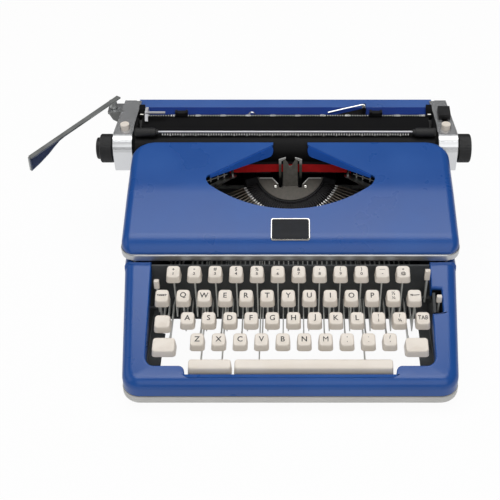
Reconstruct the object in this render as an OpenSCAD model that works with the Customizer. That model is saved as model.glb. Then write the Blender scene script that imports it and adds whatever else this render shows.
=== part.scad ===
// Manual typewriter: body shell, hinged cover, keyboard, type basket and sliding carriage.
// +X is the typist's right, +Y the back, +Z up. The origin is on the table, under the body's middle plane.

/* [Body] */
// Width of the lower body shell
body_w = 310; // [306:1:318]
// Distance from the origin to the front face
body_front = 165; // [163:1:172]
// Distance from the origin to the rear face
body_back = 140; // [139:1:146]
// Sheet thickness of the body shell
shell_t = 2; // [1.5:0.25:2.5]
// Height of the rubber feet
foot_h = 6; // [5.5:0.1:6.5]
// Radius of a rubber foot
foot_r = 7; // [6:0.5:8]
// Height of the plinth trim
trim_h = 9.8; // [9.2:0.1:10.4]
// Height of the front lip
lip_z = 34; // [32:0.5:36]
// Width of the keyboard well
well_w = 257; // [255:1:259]

/* [Cover] */
// Width of the ribbon cover at its lower edge
cover_w = 313; // [309:1:317]
// Height of the cover's rear edge
cover_top = 120.4; // [119:0.2:122]
// Slope of the cover's flat top
cover_slope = 10.3; // [10:0.1:10.6]
// Sheet thickness of the cover
cover_t = 1.8; // [1.4:0.1:2]
// Half width of the window's open rear end
window_gap = 17; // [14:1:24]
// Half width of the window at its tips
window_tip = 81; // [76:1:84]
// Height of the bright trim strip
strip_h = 7.5; // [6.5:0.25:7.5]

/* [Keyboard] */
// Distance between key centres in a row
key_pitch = 19.05; // [18.8:0.05:19.2]
// Width of a key cap
key_w = 13.5; // [12:0.25:14]
// Depth of a key cap
key_d = 14; // [12:0.25:14.5]
// Height of a key cap
key_h = 8.8; // [8:0.2:9]
// Thickness of a key lever
lever_t = 1; // [0.8:0.1:1.2]
// Height of a key lever bar
lever_h = 6; // [5:0.25:6.5]

/* [Carriage] */
// Offset of the carriage middle at rest
carriage_x = -5; // [-6:0.5:-3]
// Radius of the platen
platen_r = 16; // [15.5:0.1:16.2]
// Radius of the platen knobs
knob_r = 14.5; // [13:0.5:15]
// Radius of the carriage rails
rail_r = 4; // [3:0.25:4.5]
// Width of an end plate
end_w = 19; // [18:0.5:19.5]

/* [Type basket] */
// Angle between neighbouring typebars
bar_step = 3; // [2.9:0.02:3.04]
// Thickness of a typebar
bar_t = 0.8; // [0.6:0.1:0.9]
// Radius of a ribbon spool flange
spool_r = 22; // [20:0.5:22.5]

/* [Fits] */
// Radial clearance of a turning or sliding fit
fit = 0.1; // [0.05:0.01:0.1]
// Gap between pieces that move past each other
gap = 0.4; // [0.3:0.05:0.5]

/* [Hidden] */
$fn = 48;
half_w = body_w / 2;
trim_top = foot_h + trim_h;
trim_w = 16;
foot_in = 12;
foot_back = 3;
front_r = 17;
front_taper = 5;
taper_y = -45;
back_r = 18;
lip_r = 11;
notch_w = 187;
notch_y = -156;
well_y = -146;
well_r = 8;
deck_front = -56;
deck_z = 73.6;
side_z = 75;
side_step_y = -38;
rear_wall_z = 80;
rear_step_y = 90;
open_x = half_w - 9;
open_back = body_back - 4;
foot_at = [for (s = [-1, 1]) each [[s * (half_w - front_taper - foot_in), foot_in + foot_back - body_front],
    [s * (half_w - foot_in), body_back - foot_in]]];
cheek_a = atan2(deck_z + 0.6 - lip_z, deck_front + body_front - lip_r);

plate_x = well_w / 2 + 1.5;
plate_t = 2.5;
plate_out = plate_x + plate_t;
pan_z = 8;
pan_t = 1.5;
pan_front = -61.6;
pan_back = body_back - trim_w - 1;
plate_back = 134;
frame_front = trim_w + 7 - body_front;
frame_top = 70;
tab_t = 2;
bracket_x = 140;
bracket_t = 4;
bracket_y0 = 98;
bracket_y1 = 136;
bracket_z = 83;

hinge_y = -48;
hinge_z = 84;
hinge_r = 1.6;
hinge_boss = 2.1;

cover_half = cover_w / 2;
cover_front = -53;
cover_back = 71.5;
cover_base = 83.8;
cover_corner = 14;
cover_lean = 0.4;
shoulder_r = 9;
front_arc_r = 26;
front_arc_y = cover_front + front_arc_r - 3.2;
front_slope = 14.5;
bend_y = 14;
bend_half = 6;
cover_cut_y = 65;
cover_cut_z = 115;
flange_h = 8;
window_front = -10.5;
window_arc = 122;
window_tip_y = 25;
window_tip_r = 5;
strip_out = 1;
strip_in = 1.5;
plate_hw = 18.3;

pivot_y = 112;
pivot_z = 25;
shaft_r = 2.2;
lever_tail = 4.6;
eye_r = 4.6;
comb_y = -58;
comb_t = 2;
comb_top = 76;
slot_w = 2;
row_y = [-69.5, -88.5, -107.5, -126.5];
row_z = [78.6, 66.6, 57.1, 49.6];
row_n = [12, 11, 11, 10];
row_shift = [0, 0.5, 0.75, 1.25];
first_x = -106.7;
centre_row = 2;
centre_i = 5;
cap_tip = 1.3;
space_y = -147;
space_z = 40;
space_d = 10;
space_h = 10.8;
bar_x0 = -49.9;
bar_x1 = 91.1;
auto_x0 = -90.7;
auto_x1 = -51.7;
space_arms = [first_x + key_pitch * 4.125, first_x + key_pitch * 9.125];
auto_arms = [first_x + key_pitch * 1.375, first_x + key_pitch * 2.375];
shift_x = [-112.3, 112.2];
shift_lever_x = [-110.5, 108];
shift_w = 21.5;
lock_x = -114.5;
lock_w = 15.5;
release_x = -116.3;
release_lever_x = -118.6;
back_x = 112.4;
back_lever_x = 113;
tab_x = 119;
tab_lever_x = 118;
finger_pin = 1.5;
touch_at = [-121.6, -78, 40];
set_at = [125, -70, 45];
colour_at = [plate_out + 2.2, -88, 25];
single_levers = [shift_lever_x[0], shift_lever_x[1], lock_x, release_lever_x, back_lever_x, tab_lever_x];

platen_y = 84;
platen_z = 104.3;
end_in = 153;
wall_t = 3;
platen_half = end_in - wall_t - gap;
shaft_half_l = 190;
shaft_half_r = 185;
platen_shaft_r = 4;
bed_z = 87;
bed_t = 3;
rail_y = [106, 130];
rail_z = 78;
block_l = 36;
block_d = 12;
block_z = 72;
gear_n = 28;
gear_m = 1;
gear_r = gear_n * gear_m / 2;
gear_z = 68;
gear_y = 117.5;
gear_t = 3;
rack_half = 130;
rack_low = gear_z + gear_r - 0.7;
drum_x = -100;
drum_z = 52;
drum_r = 18;
feed_a = 240;
feed_r = 4.5;
feed_shaft = 2;
feed_dist = platen_r + feed_r + gap;
feed_y = platen_y + feed_dist * cos(feed_a);
feed_z = platen_z + feed_dist * sin(feed_a);

tilt = 32;
seg_r = 44;
strike_h = 36;
bar_rise = 20;
bar_len = norm([seg_r, strike_h]);
lean = 90 - tilt - atan2(strike_h, seg_r);
type_gap = 7;
type_y = platen_y - (platen_r + type_gap) * cos(lean);
type_z = platen_z + (platen_r + type_gap) * sin(lean);
seg_y = type_y + strike_h * sin(tilt);
seg_z = type_z - strike_h * cos(tilt);
seg_in = 33;
seg_out = 48;
seg_half_a = 74;
seg_top = 1;
seg_h = 9;
bars_left = 21;
bars_right = 22;
post_x = 41;
post_y = 93;
post_r = 3;
post_top = 76;
ear_z = 66;
beam_y = 64.5;
beam_back = 99;
beam_z = 34;
beam_t = 6;
guide_y = 63;
guide_t = 1.2;
guide_half = 7.25;
guide_top = 105;
prong_x = 9;
prong_w = 2.5;
ribbon_z = 87.4;
ribbon_h = 12.7;
ribbon_t = 0.2;
ribbon_y = 67;
spool_x = 108;
spool_y = 18;
cup_z = 84.3;
cup_t = 1.4;
pack_r = 17;
post_guide_x = 58;
post_guide_y = 64;
rail_front = 116;
rail_low = 116.5;
rail_top = 121;
rail_t = 3;
stop_z = rail_top + 0.3;
lever_x = -175.9;
lever_y = 125.4;
lever_z = 126;
lever_top = 134;
lever_pin = 2.5;
shelf_t = 3;
bail_y = 82.5;
bail_z = 125;
bail_r = 1.5;
support_x = 80;
support_z = 126.2;
support_pin = 1.2;
release_c = 159.8;
release_y = 107.2;
button_dx = 8;
button_y = 96;
button_r = 4.5;
bail_pin_y = 104;
bail_pin_z = 112;
bail_pin = 2;
end_front = 88.5;
end_r = 15.5;
end_slope = 9.7;
end_taper = 7.8;

// Piece to draw

blue = [0.16, 0.33, 0.60];
cream = [0.93, 0.90, 0.80];
steel = [0.70, 0.71, 0.72];
dark = [0.08, 0.08, 0.09];
bright = [0.85, 0.86, 0.87];
pale = [0.80, 0.80, 0.78];

function arc(c, r, a0, a1, n) = [for (i = [0:n]) let (a = a0 + (a1 - a0) * i / n) c + r * [cos(a), sin(a)]];
function key_x(row, i) = first_x + key_pitch * (row_shift[row] + i);
function cheek_z(y) = deck_z + 0.6 - (deck_front - y) * tan(cheek_a);
function in_plane(s, a) = [seg_y - s * cos(tilt) - a * sin(tilt), seg_z - s * sin(tilt) + a * cos(tilt)];
function top_line(y) = let (k = tan(front_slope) - tan(cover_slope),
        flat = cover_top - (cover_back - y) * tan(cover_slope))
    y >= bend_y + bend_half ? flat : y <= bend_y - bend_half ? flat - k * (bend_y - y)
    : flat - k * pow(bend_y + bend_half - y, 2) / (4 * bend_half);

// A block given by its two corners
module block(a, b) {
    translate(a) cube(b - a);
}

// A side outline drawn in Y and Z, carried along X
module along_x(x0, x1) {
    translate([x0, 0, 0]) rotate([90, 0, 90]) linear_extrude(x1 - x0) children();
}

// A round bar along X
module rod_x(x0, x1, y, z, r) {
    translate([x0, y, z]) rotate([0, 90, 0]) cylinder(h = x1 - x0, r = r);
}

// A round bar along Y
module rod_y(x, y0, y1, z, r) {
    translate([x, y0, z]) rotate([-90, 0, 0]) cylinder(h = y1 - y0, r = r);
}

// A rectangle with round corners, given by its two corners
module round_rect(a, b, r) {
    translate([a[0] + r, a[1]]) square([b[0] - a[0] - 2 * r, b[1] - a[1]]);
    translate([a[0], a[1] + r]) square([b[0] - a[0], b[1] - a[1] - 2 * r]);
    for (x = [a[0] + r, b[0] - r], y = [a[1] + r, b[1] - r]) {
        translate([x, y]) circle(r);
    }
}

// Plan outline of the body, drawn in by d
module body_plan(d) {
    x = half_w - d;
    y0 = -body_front + d;
    y1 = body_back - d;
    f = front_r - d;
    b = back_r - d;
    xf = x - front_taper;
    polygon([[-xf, y0 + f], [xf, y0 + f], [x, taper_y], [x, y1 - b], [-x, y1 - b], [-x, taper_y]]);
    translate([-xf + f, y0]) square([2 * (xf - f), f + 1]);
    translate([-x + b, y1 - b - 1]) square([2 * (x - b), b + 1]);
    for (s = [-1, 1]) {
        translate([s * (xf - f), y0 + f]) circle(f);
        translate([s * (x - b), y1 - b]) circle(b);
    }
}

// Side outline of the body, drawn in by d, from the height z0 up
module body_side(d, z0) {
    c = [lip_r - body_front, lip_z - lip_r];
    polygon(concat([[-body_front + d, z0]], arc(c, lip_r - d, 180, 90 + cheek_a, 6),
        [[deck_front, deck_z + 0.6 - d * 1.1], [deck_front + 2, deck_z - d], [side_step_y, deck_z - d],
        [side_step_y + 2, side_z - d], [rear_step_y - 2, side_z - d], [rear_step_y + 2, rear_wall_z - d],
        [body_back - d, rear_wall_z - d], [body_back - d, z0]]));
}

module body_solid(d, z0) {
    intersection() {
        along_x(-half_w + d, half_w - d) body_side(d, z0);
        translate([0, 0, z0]) linear_extrude(rear_wall_z) body_plan(d);
    }
}

// Painted sheet-metal shell with the keyboard well and the open deck under the cover
module lower_shell() {
    slot_y0 = -99.5;
    slot_y1 = -78;
    slot_w0 = 9.5;
    color(blue) difference() {
        body_solid(0, trim_top);
        body_solid(shell_t, trim_top - 1);
        translate([0, 0, trim_top]) linear_extrude(rear_wall_z)
            round_rect([-well_w / 2, well_y], [well_w / 2, deck_front + 20], well_r);
        translate([0, 0, trim_top + shell_t + 4]) linear_extrude(rear_wall_z)
            round_rect([-notch_w / 2, notch_y], [notch_w / 2, well_y + 20], well_r);
        block([-open_x, deck_front + 1, trim_top + 20], [open_x, open_back, rear_wall_z + 10]);
        block([well_w / 2 - 1, slot_y0, 40], [well_w / 2 + slot_w0, slot_y1, rear_wall_z]);
    }
}

// Plinth ring under the shell with corner pads for the feet
module base_trim() {
    low = trim_h * 0.45;
    color(pale) difference() {
        union() {
            translate([0, 0, foot_h + low]) linear_extrude(trim_h - low) body_plan(0);
            translate([0, 0, foot_h]) linear_extrude(low) body_plan(1.2);
        }
        difference() {
            translate([0, 0, foot_h - 1]) linear_extrude(trim_h + 2) body_plan(trim_w);
            for (p = foot_at) {
                translate([p[0], p[1], foot_h - 2]) cylinder(h = trim_h + 4, r = foot_r + 1);
            }
        }
    }
}

// Four round rubber feet under the plinth
module rubber_feet() {
    color(dark) for (p = foot_at) {
        translate([p[0], p[1], 0]) cylinder(h = foot_h, r = foot_r);
    }
}

// Side outline of a chassis plate
module chassis_side() {
    polygon([[frame_front, pan_z], [frame_front, cheek_z(frame_front) - 5], [deck_front - 2, frame_top - 1],
        [-40, frame_top - 1], [-34, 80], [hinge_y, hinge_z - hinge_boss], [hinge_y, hinge_z + hinge_boss],
        [-30, hinge_z + hinge_boss], [-22, frame_top], [60, frame_top], [plate_back, frame_top - 6],
        [plate_back, trim_top + gap], [pan_back, trim_top + gap], [pan_back, pan_z], [pan_front, pan_z]]);
    translate([hinge_y, hinge_z]) circle(hinge_boss);
}

// Guide post that leans back like the striking typebar, from one height to another
module guide_post(s, r, z0, z1) {
    translate([s * post_x, post_y, ear_z]) rotate([-lean, 0, 0]) translate([0, 0, (z0 - ear_z) / cos(lean)])
        cylinder(h = (z1 - z0) / cos(lean), r = r);
}

// Folded steel frame: pan, side plates, cross beam with guide posts, rail brackets and hinge pins
module chassis_frame() {
    post_t = 2.4;
    arm_t = 4;
    arm_y = gear_y + 7;
    color(dark) {
        block([-plate_out, pan_front, pan_z], [plate_out, pan_back, pan_z + pan_t]);
        for (s = [-1, 1]) {
            x0 = s > 0 ? plate_x : -plate_out;
            along_x(x0, x0 + plate_t) chassis_side();
            h0 = s > 0 ? plate_out - 1 : -plate_out - 7;
            rod_x(h0, h0 + 8, hinge_y, hinge_z, hinge_r);
            b0 = s > 0 ? bracket_x : -bracket_x - bracket_t;
            difference() {
                block([b0, bracket_y0, trim_top], [b0 + bracket_t, bracket_y1, bracket_z]);
                block([b0 - 1, gear_y - 4, rack_low - 2], [b0 + bracket_t + 1, gear_y + 4, bracket_z + 1]);
            }
            w0 = s > 0 ? plate_out - 1 : -bracket_x - 1;
            block([w0, 122, trim_top + 2], [w0 + bracket_x - plate_out + 2, 126, frame_top - 8]);
            for (y = [-130, 40]) {
                t0 = s > 0 ? plate_x : -plate_out - 10;
                block([t0, y, trim_top], [t0 + 10 + plate_t, y + 16, trim_top + tab_t]);
            }
            guide_post(s, post_r, beam_z + 2, post_top);
        }
        block([-plate_x - 1, beam_y, beam_z], [plate_x + 1, beam_back, beam_z + beam_t]);
        difference() {
            block([-9, gear_y + 3, pan_z + 0.5], [9, gear_y + 3 + post_t, gear_z + 3.5]);
            rod_y(0, gear_y, gear_y + 10, gear_z, feed_shaft + fit);
        }
        difference() {
            block([-plate_out + 1, arm_y, drum_z - 8], [drum_x + 9, arm_y + arm_t, drum_z + 8]);
            rod_y(drum_x, gear_y, arm_y + arm_t + 3, drum_z, feed_shaft + fit);
        }
        rod_x(-plate_x - 1, touch_at[0] + 2.1, touch_at[1], touch_at[2], finger_pin);
        rod_x(set_at[0] - 2.4, plate_x + 1, set_at[1], set_at[2], finger_pin);
        rod_x(plate_x + 1, colour_at[0] + 2.8, colour_at[1], colour_at[2], finger_pin);
    }
}

// Upright slotted plate that keeps the key levers apart
module key_comb() {
    slot_bottom = 10;
    slot_top = pivot_z + lever_h / 2 + 4;
    low_top = frame_top - 2;
    x0 = well_w / 2 - gap;
    color(dark) difference() {
        union() {
            block([-plate_x, comb_y, pan_z + pan_t], [plate_x, comb_y + comb_t, low_top]);
            block([-x0, comb_y, low_top - 1], [x0, comb_y + comb_t, comb_top - 1.5]);
        }
        for (r = [0:3], i = [0:row_n[r] - 1]) {
            x = key_x(r, i);
            block([x - slot_w / 2, comb_y - 1, slot_bottom], [x + slot_w / 2, comb_y + 4, slot_top]);
        }
        for (x = concat(space_arms, auto_arms)) {
            block([x - 2, comb_y - 1, slot_bottom], [x + 2, comb_y + 4, slot_top]);
        }
        for (x = single_levers) {
            block([x - slot_w / 2, comb_y - 1, slot_bottom], [x + slot_w / 2, comb_y + 4, slot_top]);
        }
    }
}

// Round shaft that all key levers turn on
module lever_shaft() {
    color(steel) rod_x(-plate_x, plate_x, pivot_y, pivot_z, shaft_r);
}

// Two round rails between the rear brackets
module carriage_rails() {
    color(steel) for (y = rail_y) {
        rod_x(-bracket_x, bracket_x, y, rail_z, rail_r);
    }
}

// Open cups under the ribbon spools, each with a spindle, a leg and a ribbon guide pin
module spool_cups() {
    wall = 1.4;
    wall_h = ribbon_z - gap - cup_z;
    cup_r = spool_r + 1 + wall;
    color(steel) for (s = [-1, 1]) {
        translate([s * spool_x, spool_y, cup_z]) {
            cylinder(h = cup_t, r = cup_r);
            cylinder(h = 18, r = 2.5);
            difference() {
                cylinder(h = wall_h, r = cup_r);
                translate([0, 0, -1]) cylinder(h = wall_h + 2, r = cup_r - wall);
            }
        }
        x0 = s > 0 ? spool_x + 8 : -plate_out;
        block([x0, spool_y - 8, frame_top], [x0 + plate_out - spool_x - 8, spool_y + 8, cup_z + 0.5]);
        translate([s * post_guide_x, post_guide_y, cup_z]) {
            cylinder(h = cup_t, r = 4);
            cylinder(h = 18, r = 1.5);
        }
        a = [s * post_guide_x, post_guide_y];
        b = [s * spool_x, spool_y];
        dir = (b - a) / norm(b - a);
        side = [-dir[1], dir[0]] * 3;
        translate([0, 0, cup_z]) linear_extrude(cup_t) polygon([a + side, b + side, b - side, a - side]);
    }
}

// Outline of a gear tooth row drawn as tapered teeth with free play
module gear_shape(r_tip, r_root) {
    tooth_root = 26;
    tooth_tip = 12;
    step = 360 / gear_n;
    circle(r_root);
    for (i = [0:gear_n - 1]) {
        a = i * step;
        polygon([(r_root - 1) * [cos(a - step * tooth_root / 100), sin(a - step * tooth_root / 100)],
            r_tip * [cos(a - step * tooth_tip / 100), sin(a - step * tooth_tip / 100)],
            r_tip * [cos(a + step * tooth_tip / 100), sin(a + step * tooth_tip / 100)],
            (r_root - 1) * [cos(a + step * tooth_root / 100), sin(a + step * tooth_root / 100)]]);
    }
}

// Toothed wheel that the carriage rack turns
module escapement_wheel() {
    hub_r = 6;
    color(steel) {
        translate([0, gear_y + gear_t / 2, gear_z]) rotate([90, 90, 0]) linear_extrude(gear_t)
            gear_shape(gear_r + 0.7, gear_r - 1.2);
        rod_y(0, gear_y - gear_t / 2 - 3, gear_y, gear_z, hub_r);
        rod_y(0, gear_y, gear_y + 3 + 3.5, gear_z, feed_shaft);
    }
}

// Drum of the mainspring that draws the carriage along
module mainspring_drum() {
    drum_l = 12;
    color(steel) {
        rod_y(drum_x, gear_y + 6 - drum_l, gear_y + 6, drum_z, drum_r - 1);
        rod_y(drum_x, gear_y + 6 - drum_l, gear_y + 7.5 - drum_l, drum_z, drum_r);
        rod_y(drum_x, gear_y + 4.5, gear_y + 6, drum_z, drum_r);
        rod_y(drum_x, gear_y, gear_y + 10.5, drum_z, feed_shaft);
    }
}

// How far a round corner draws the cover's side in, at the distance d from an end
function edge_in(d) = d >= cover_corner ? 0
    : cover_corner - sqrt(max(0, pow(cover_corner, 2) - pow(cover_corner - max(d, 0), 2)));
function cover_half_at(y) = cover_half - edge_in(y - cover_front) - edge_in(cover_back - y);
arc_end_y = front_arc_y - front_arc_r * sin(front_slope);
front_arc_z = top_line(arc_end_y) - front_arc_r * cos(front_slope);
arc_start = 180 - asin((cover_base + 1.5 - front_arc_z) / front_arc_r);
arc_steps = 6;
arc_angles = [for (i = [0:arc_steps]) arc_start + (90 + front_slope - arc_start) * i / arc_steps];
flat_ys = [-8, 8, 11, 14, 17, 20, 45, 57.5, 61.5, 65, 68, 70.3, cover_back];

// Cross-sections of the cover drawn in by d: place, top height and half width
function cover_rows(d) = concat(
    [for (a = arc_angles) [front_arc_y + (front_arc_r - d) * cos(a),
        front_arc_z + (front_arc_r - d) * sin(a), cover_half_at(front_arc_y + front_arc_r * cos(a)) - d]],
    [for (y = flat_ys) [y, top_line(y) - d / cos(cover_slope), cover_half_at(y) - d]]);

function cover_ring(row, z0) = let (h = row[1] - cover_base, in = cover_lean * h / 36,
        r = min(shoulder_r, h * 0.8), c = [row[2] - in - r, row[1] - r], a = arc(c, r, 0, 90, 5))
    concat([[row[2], row[0], z0]], [for (p = a) [p[0], row[0], p[1]]],
        [for (i = [5:-1:0]) [-a[i][0], row[0], a[i][1]]], [[-row[2], row[0], z0]]);

// Solid under the cover's skin, drawn in by d, standing on z0, and carried past the rear edge by back
module cover_solid(d, z0, back) {
    rows0 = cover_rows(d);
    last = rows0[len(rows0) - 1];
    rows = back > 0 ? concat(rows0, [[last[0] + back, last[1], last[2]]]) : rows0;
    n = 14;
    m = len(rows);
    points = [for (r = rows) each cover_ring(r, z0)];
    faces = concat([[for (j = [n - 1:-1:0]) j]], [[for (j = [0:n - 1]) (m - 1) * n + j]],
        [for (i = [0:m - 2], j = [0:n - 1]) let (k = (j + 1) % n)
            each [[i * n + j, i * n + k, (i + 1) * n + k], [i * n + j, (i + 1) * n + k, (i + 1) * n + j]]]);
    polyhedron(points, faces);
}

// Plan of the window over the type basket, open at the cover's rear edge
module window_plan() {
    arc_x = window_tip - 3;
    c = [0, window_front + window_arc];
    a = asin(arc_x / window_arc);
    polygon(concat(arc(c, window_arc, -90 - a, -90 + a, 16),
        arc([window_tip - window_tip_r, window_tip_y], window_tip_r, -30, 50, 4),
        [[window_gap, cover_back - 3], [window_gap, cover_back + 3], [-window_gap, cover_back + 3],
        [-window_gap, cover_back - 3]],
        arc([window_tip_r - window_tip, window_tip_y], window_tip_r, 130, 210, 4)));
}

// Painted ribbon cover, hinged at its front edge, with the basket window and its turned-down edges
module top_cover() {
    ear_x = plate_out + 2;
    ear_t = 3;
    ear_r = 3.2;
    flange_t = 1.6;
    f0 = [window_gap + 7, 66];
    f1 = [window_tip - 6, window_tip_y + 5];
    along = (f1 - f0) / norm(f1 - f0);
    out = [-along[1], along[0]] * flange_t;
    color(blue) {
        difference() {
            cover_solid(0, cover_base, 0);
            cover_solid(cover_t, cover_base - 2, 3);
            translate([0, 0, cover_base]) linear_extrude(60) window_plan();
            block([-cover_half, cover_cut_y, cover_base - 2], [cover_half, cover_back + 5, cover_cut_z]);
        }
        for (s = [-1, 1]) {
            translate([0, cover_back, cover_top]) rotate([cover_slope, 0, 0]) translate([0, 0, -flange_h])
                linear_extrude(flange_h - 0.4) polygon([for (p = [f0, f1, f1 + out, f0 + out])
                    [s * p[0], (p[1] - cover_back) / cos(cover_slope)]]);
            x0 = s > 0 ? ear_x : -ear_x - ear_t;
            difference() {
                block([x0, cover_front + cover_t, hinge_z - ear_r],
                    [x0 + ear_t, hinge_y + ear_r, hinge_z + ear_r]);
                rod_x(x0 - 1, x0 + ear_t + 1, hinge_y, hinge_z, hinge_r + fit);
            }
        }
    }
}

// Plan outline of the cover's lower edge, grown by d
module cover_plan(d) {
    r = cover_corner + d;
    x = cover_half + d;
    y0 = cover_front - d;
    translate([-x, y0 + r]) square([2 * x, cover_cut_y - y0 - r]);
    translate([-x + r, y0]) square([2 * (x - r), r + 1]);
    for (s = [-1, 1]) {
        translate([s * (x - r), y0 + r]) circle(r);
    }
}

// Bright strip round the lower edge of the cover
module cover_trim() {
    color(bright) translate([0, 0, cover_base - strip_h]) linear_extrude(strip_h) difference() {
        cover_plan(strip_out);
        translate([0, 0.01]) cover_plan(-strip_in);
        translate([-cover_half + strip_in, cover_cut_y - 2]) square([cover_w - 2 * strip_in, 10]);
    }
}

// Bare plate that follows the cover's front curve
module nameplate() {
    plate_t0 = 1.4;
    color(dark) intersection() {
        difference() {
            cover_solid(-plate_t0, cover_base, 0);
            cover_solid(-0.05, cover_base - 2, 3);
        }
        block([-plate_hw, -44.5, cover_base + 2], [plate_hw, -21.5, cover_top]);
    }
}

// Places a piece drawn in the segment's own plane: first axis across, second to the front, third out of it
module on_segment() {
    translate([0, seg_y, seg_z]) rotate([tilt, 0, 0]) mirror([0, 1, 0]) children();
}

// Slotted half ring that carries the typebars, with arms down to the guide posts
module segment() {
    slot = bar_t + 0.5;
    ear_h = 8;
    color(dark) {
        on_segment() difference() {
            translate([0, 0, seg_top - seg_h]) intersection() {
                difference() {
                    cylinder(h = seg_h, r = seg_out);
                    translate([0, 0, -1]) cylinder(h = seg_h + 2, r = seg_in);
                }
                linear_extrude(seg_h) polygon([[0, 0], 90 * [sin(seg_half_a), cos(seg_half_a)], [60, 90],
                    [-60, 90], 90 * [-sin(seg_half_a), cos(seg_half_a)]]);
            }
            for (i = [-bars_left:bars_right]) {
                rotate([0, 0, -i * bar_step])
                    block([-slot / 2, seg_in + 3.5, -seg_h], [slot / 2, seg_out + 2, 3]);
            }
        }
        on_segment() translate([-1.6, seg_r, 0]) rotate([0, 90, 0]) cylinder(h = 3.2, r = 0.9);
        for (s = [-1, 1]) {
            difference() {
                block([s * post_x - 6, 69, ear_z - ear_h / 2],
                    [s * post_x + 6, post_y + 6.5, ear_z + ear_h / 2]);
                guide_post(s, post_r + fit, ear_z - 9, ear_z + 9);
                on_segment() for (i = [-bars_left:bars_right]) {
                    rotate([0, 0, -i * bar_step])
                        block([-slot / 2, seg_in + 3.5, -5], [slot / 2, seg_out + 12, 9]);
                }
            }
        }
    }
}

// Grey guide plate with the forked upright that lines up the striking type
module type_guide() {
    plate_r = 33;
    chord = 10.7;
    notch_x0 = 7.8;
    notch_x1 = 17;
    notch_s = 26;
    fork = 2.5;
    fork_z = 94.5;
    foot_z = 71.5;
    color(steel) {
        on_segment() difference() {
            translate([0, 0, seg_top]) linear_extrude(guide_t) difference() {
                intersection() {
                    circle(plate_r + 2);
                    translate([-60, chord]) square([120, 60]);
                }
                for (s = [-1, 1]) {
                    polygon([[s * notch_x0, chord - 1], [s * notch_x1, chord - 1],
                        [s * (notch_x0 + 5), notch_s], [s * notch_x0, notch_s]]);
                }
            }
            for (s = [-1, 1]) {
                translate([s * 22, 20, seg_top + guide_t - 0.5]) cylinder(h = 2, r = 1.9);
            }
        }
        translate([0, guide_y + guide_t, 0]) rotate([90, 0, 0]) linear_extrude(guide_t)
            polygon([[-guide_half, foot_z], [guide_half, foot_z], [guide_half, guide_top - 2],
            [guide_half - 2, guide_top], [fork + 2, guide_top], [fork, guide_top - 3], [fork, fork_z],
            [-fork, fork_z], [-fork, guide_top - 3], [-fork - 2, guide_top], [2 - guide_half, guide_top],
            [-guide_half, guide_top - 2]]);
    }
}

// One typebar in its own plane: along the bar from the pivot, and up from it
module typebar() {
    head = 7;
    face = 6;
    translate([-bar_t / 2, 0, 0]) rotate([90, 0, 90]) linear_extrude(bar_t)
        polygon([[-5, -2], [-5, 2], [8, 2.4], [bar_len + head, 1.6], [bar_len + head, -1.4], [8, -2.4]]);
    block([-1.4, bar_len - head, 1.4], [1.4, bar_len + head, face]);
}

// Resting typebars, fanned out in the segment
module typebars() {
    color(steel) on_segment() for (i = [-bars_left:bars_right]) {
        if (i != 0) {
            rotate([0, 0, -i * bar_step]) translate([0, seg_r, 0]) rotate([bar_rise, 0, 0]) typebar();
        }
    }
}

// Middle typebar, bored for its pivot
module centre_typebar() {
    color(steel) on_segment() translate([0, seg_r, 0]) rotate([bar_rise, 0, 0]) difference() {
        typebar();
        translate([-2, 0, 0]) rotate([0, 90, 0]) cylinder(h = 4, r = 0.9 + fit);
    }
}

// Forked carrier that lifts the ribbon over the printing point
module ribbon_vibrator() {
    foot_z = 36;
    bridge_z = 52;
    hook = 0.6;
    claw_x = 4.5;
    y1 = guide_y + guide_t;
    hook_y = ribbon_y + ribbon_t + 0.4;
    color(bright) {
        block([-4, guide_y, foot_z], [4, y1, bridge_z + 1]);
        block([-prong_x - prong_w, guide_y, bridge_z], [prong_x + prong_w, y1, bridge_z + 4]);
        for (s = [-1, 1]) {
            x0 = s > 0 ? prong_x : -prong_x - prong_w;
            block([x0, guide_y, bridge_z + 1], [x0 + prong_w, y1, guide_top - 1]);
            for (z = [ribbon_z - hook - 1.2, ribbon_z + ribbon_h + hook]) {
                block([x0, y1 - 0.5, z], [x0 + prong_w, hook_y, z + 1.2]);
            }
            translate([0, y1, guide_top]) rotate([90, 0, 0]) linear_extrude(guide_t)
                polygon([[s * (prong_x + prong_w), -4], [s * (prong_x + prong_w), 0.5], [s * claw_x, 3],
                [s * claw_x, 1.6], [s * prong_x, -1.5]]);
        }
    }
}

// Two-colour ribbon from spool to spool past the printing point
module ribbon() {
    guide_pass = 1.5 + ribbon_t;
    a = [-spool_x - 4, spool_y + pack_r + 0.4];
    b = [-post_guide_x - 1, post_guide_y + guide_pass];
    c = [-prong_x - 4, ribbon_y];
    t = [0, ribbon_t];
    color([0.6, 0.08, 0.1]) translate([0, 0, ribbon_z]) linear_extrude(ribbon_h)
        polygon([a, b, c, [-c[0], c[1]], [-b[0], b[1]], [-a[0], a[1]], [-a[0], a[1]] + t, [-b[0], b[1]] + t,
        [-c[0], c[1]] + t, c + t, b + t, a + t]);
}

// Ribbon spool with its wound pack
module spool(s) {
    z0 = cup_z + cup_t + 0.3;
    color(dark) translate([s * spool_x, spool_y, 0]) difference() {
        union() {
            translate([0, 0, z0]) cylinder(h = 1, r = spool_r);
            translate([0, 0, ribbon_z + ribbon_h + 0.6]) cylinder(h = 1, r = spool_r);
            translate([0, 0, z0]) cylinder(h = ribbon_z + ribbon_h + 1 - z0, r = pack_r);
        }
        translate([0, 0, z0 - 1]) cylinder(h = 30, r = 2.5 + fit);
    }
}

module left_spool() {
    spool(-1);
}

module right_spool() {
    spool(1);
}

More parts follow.
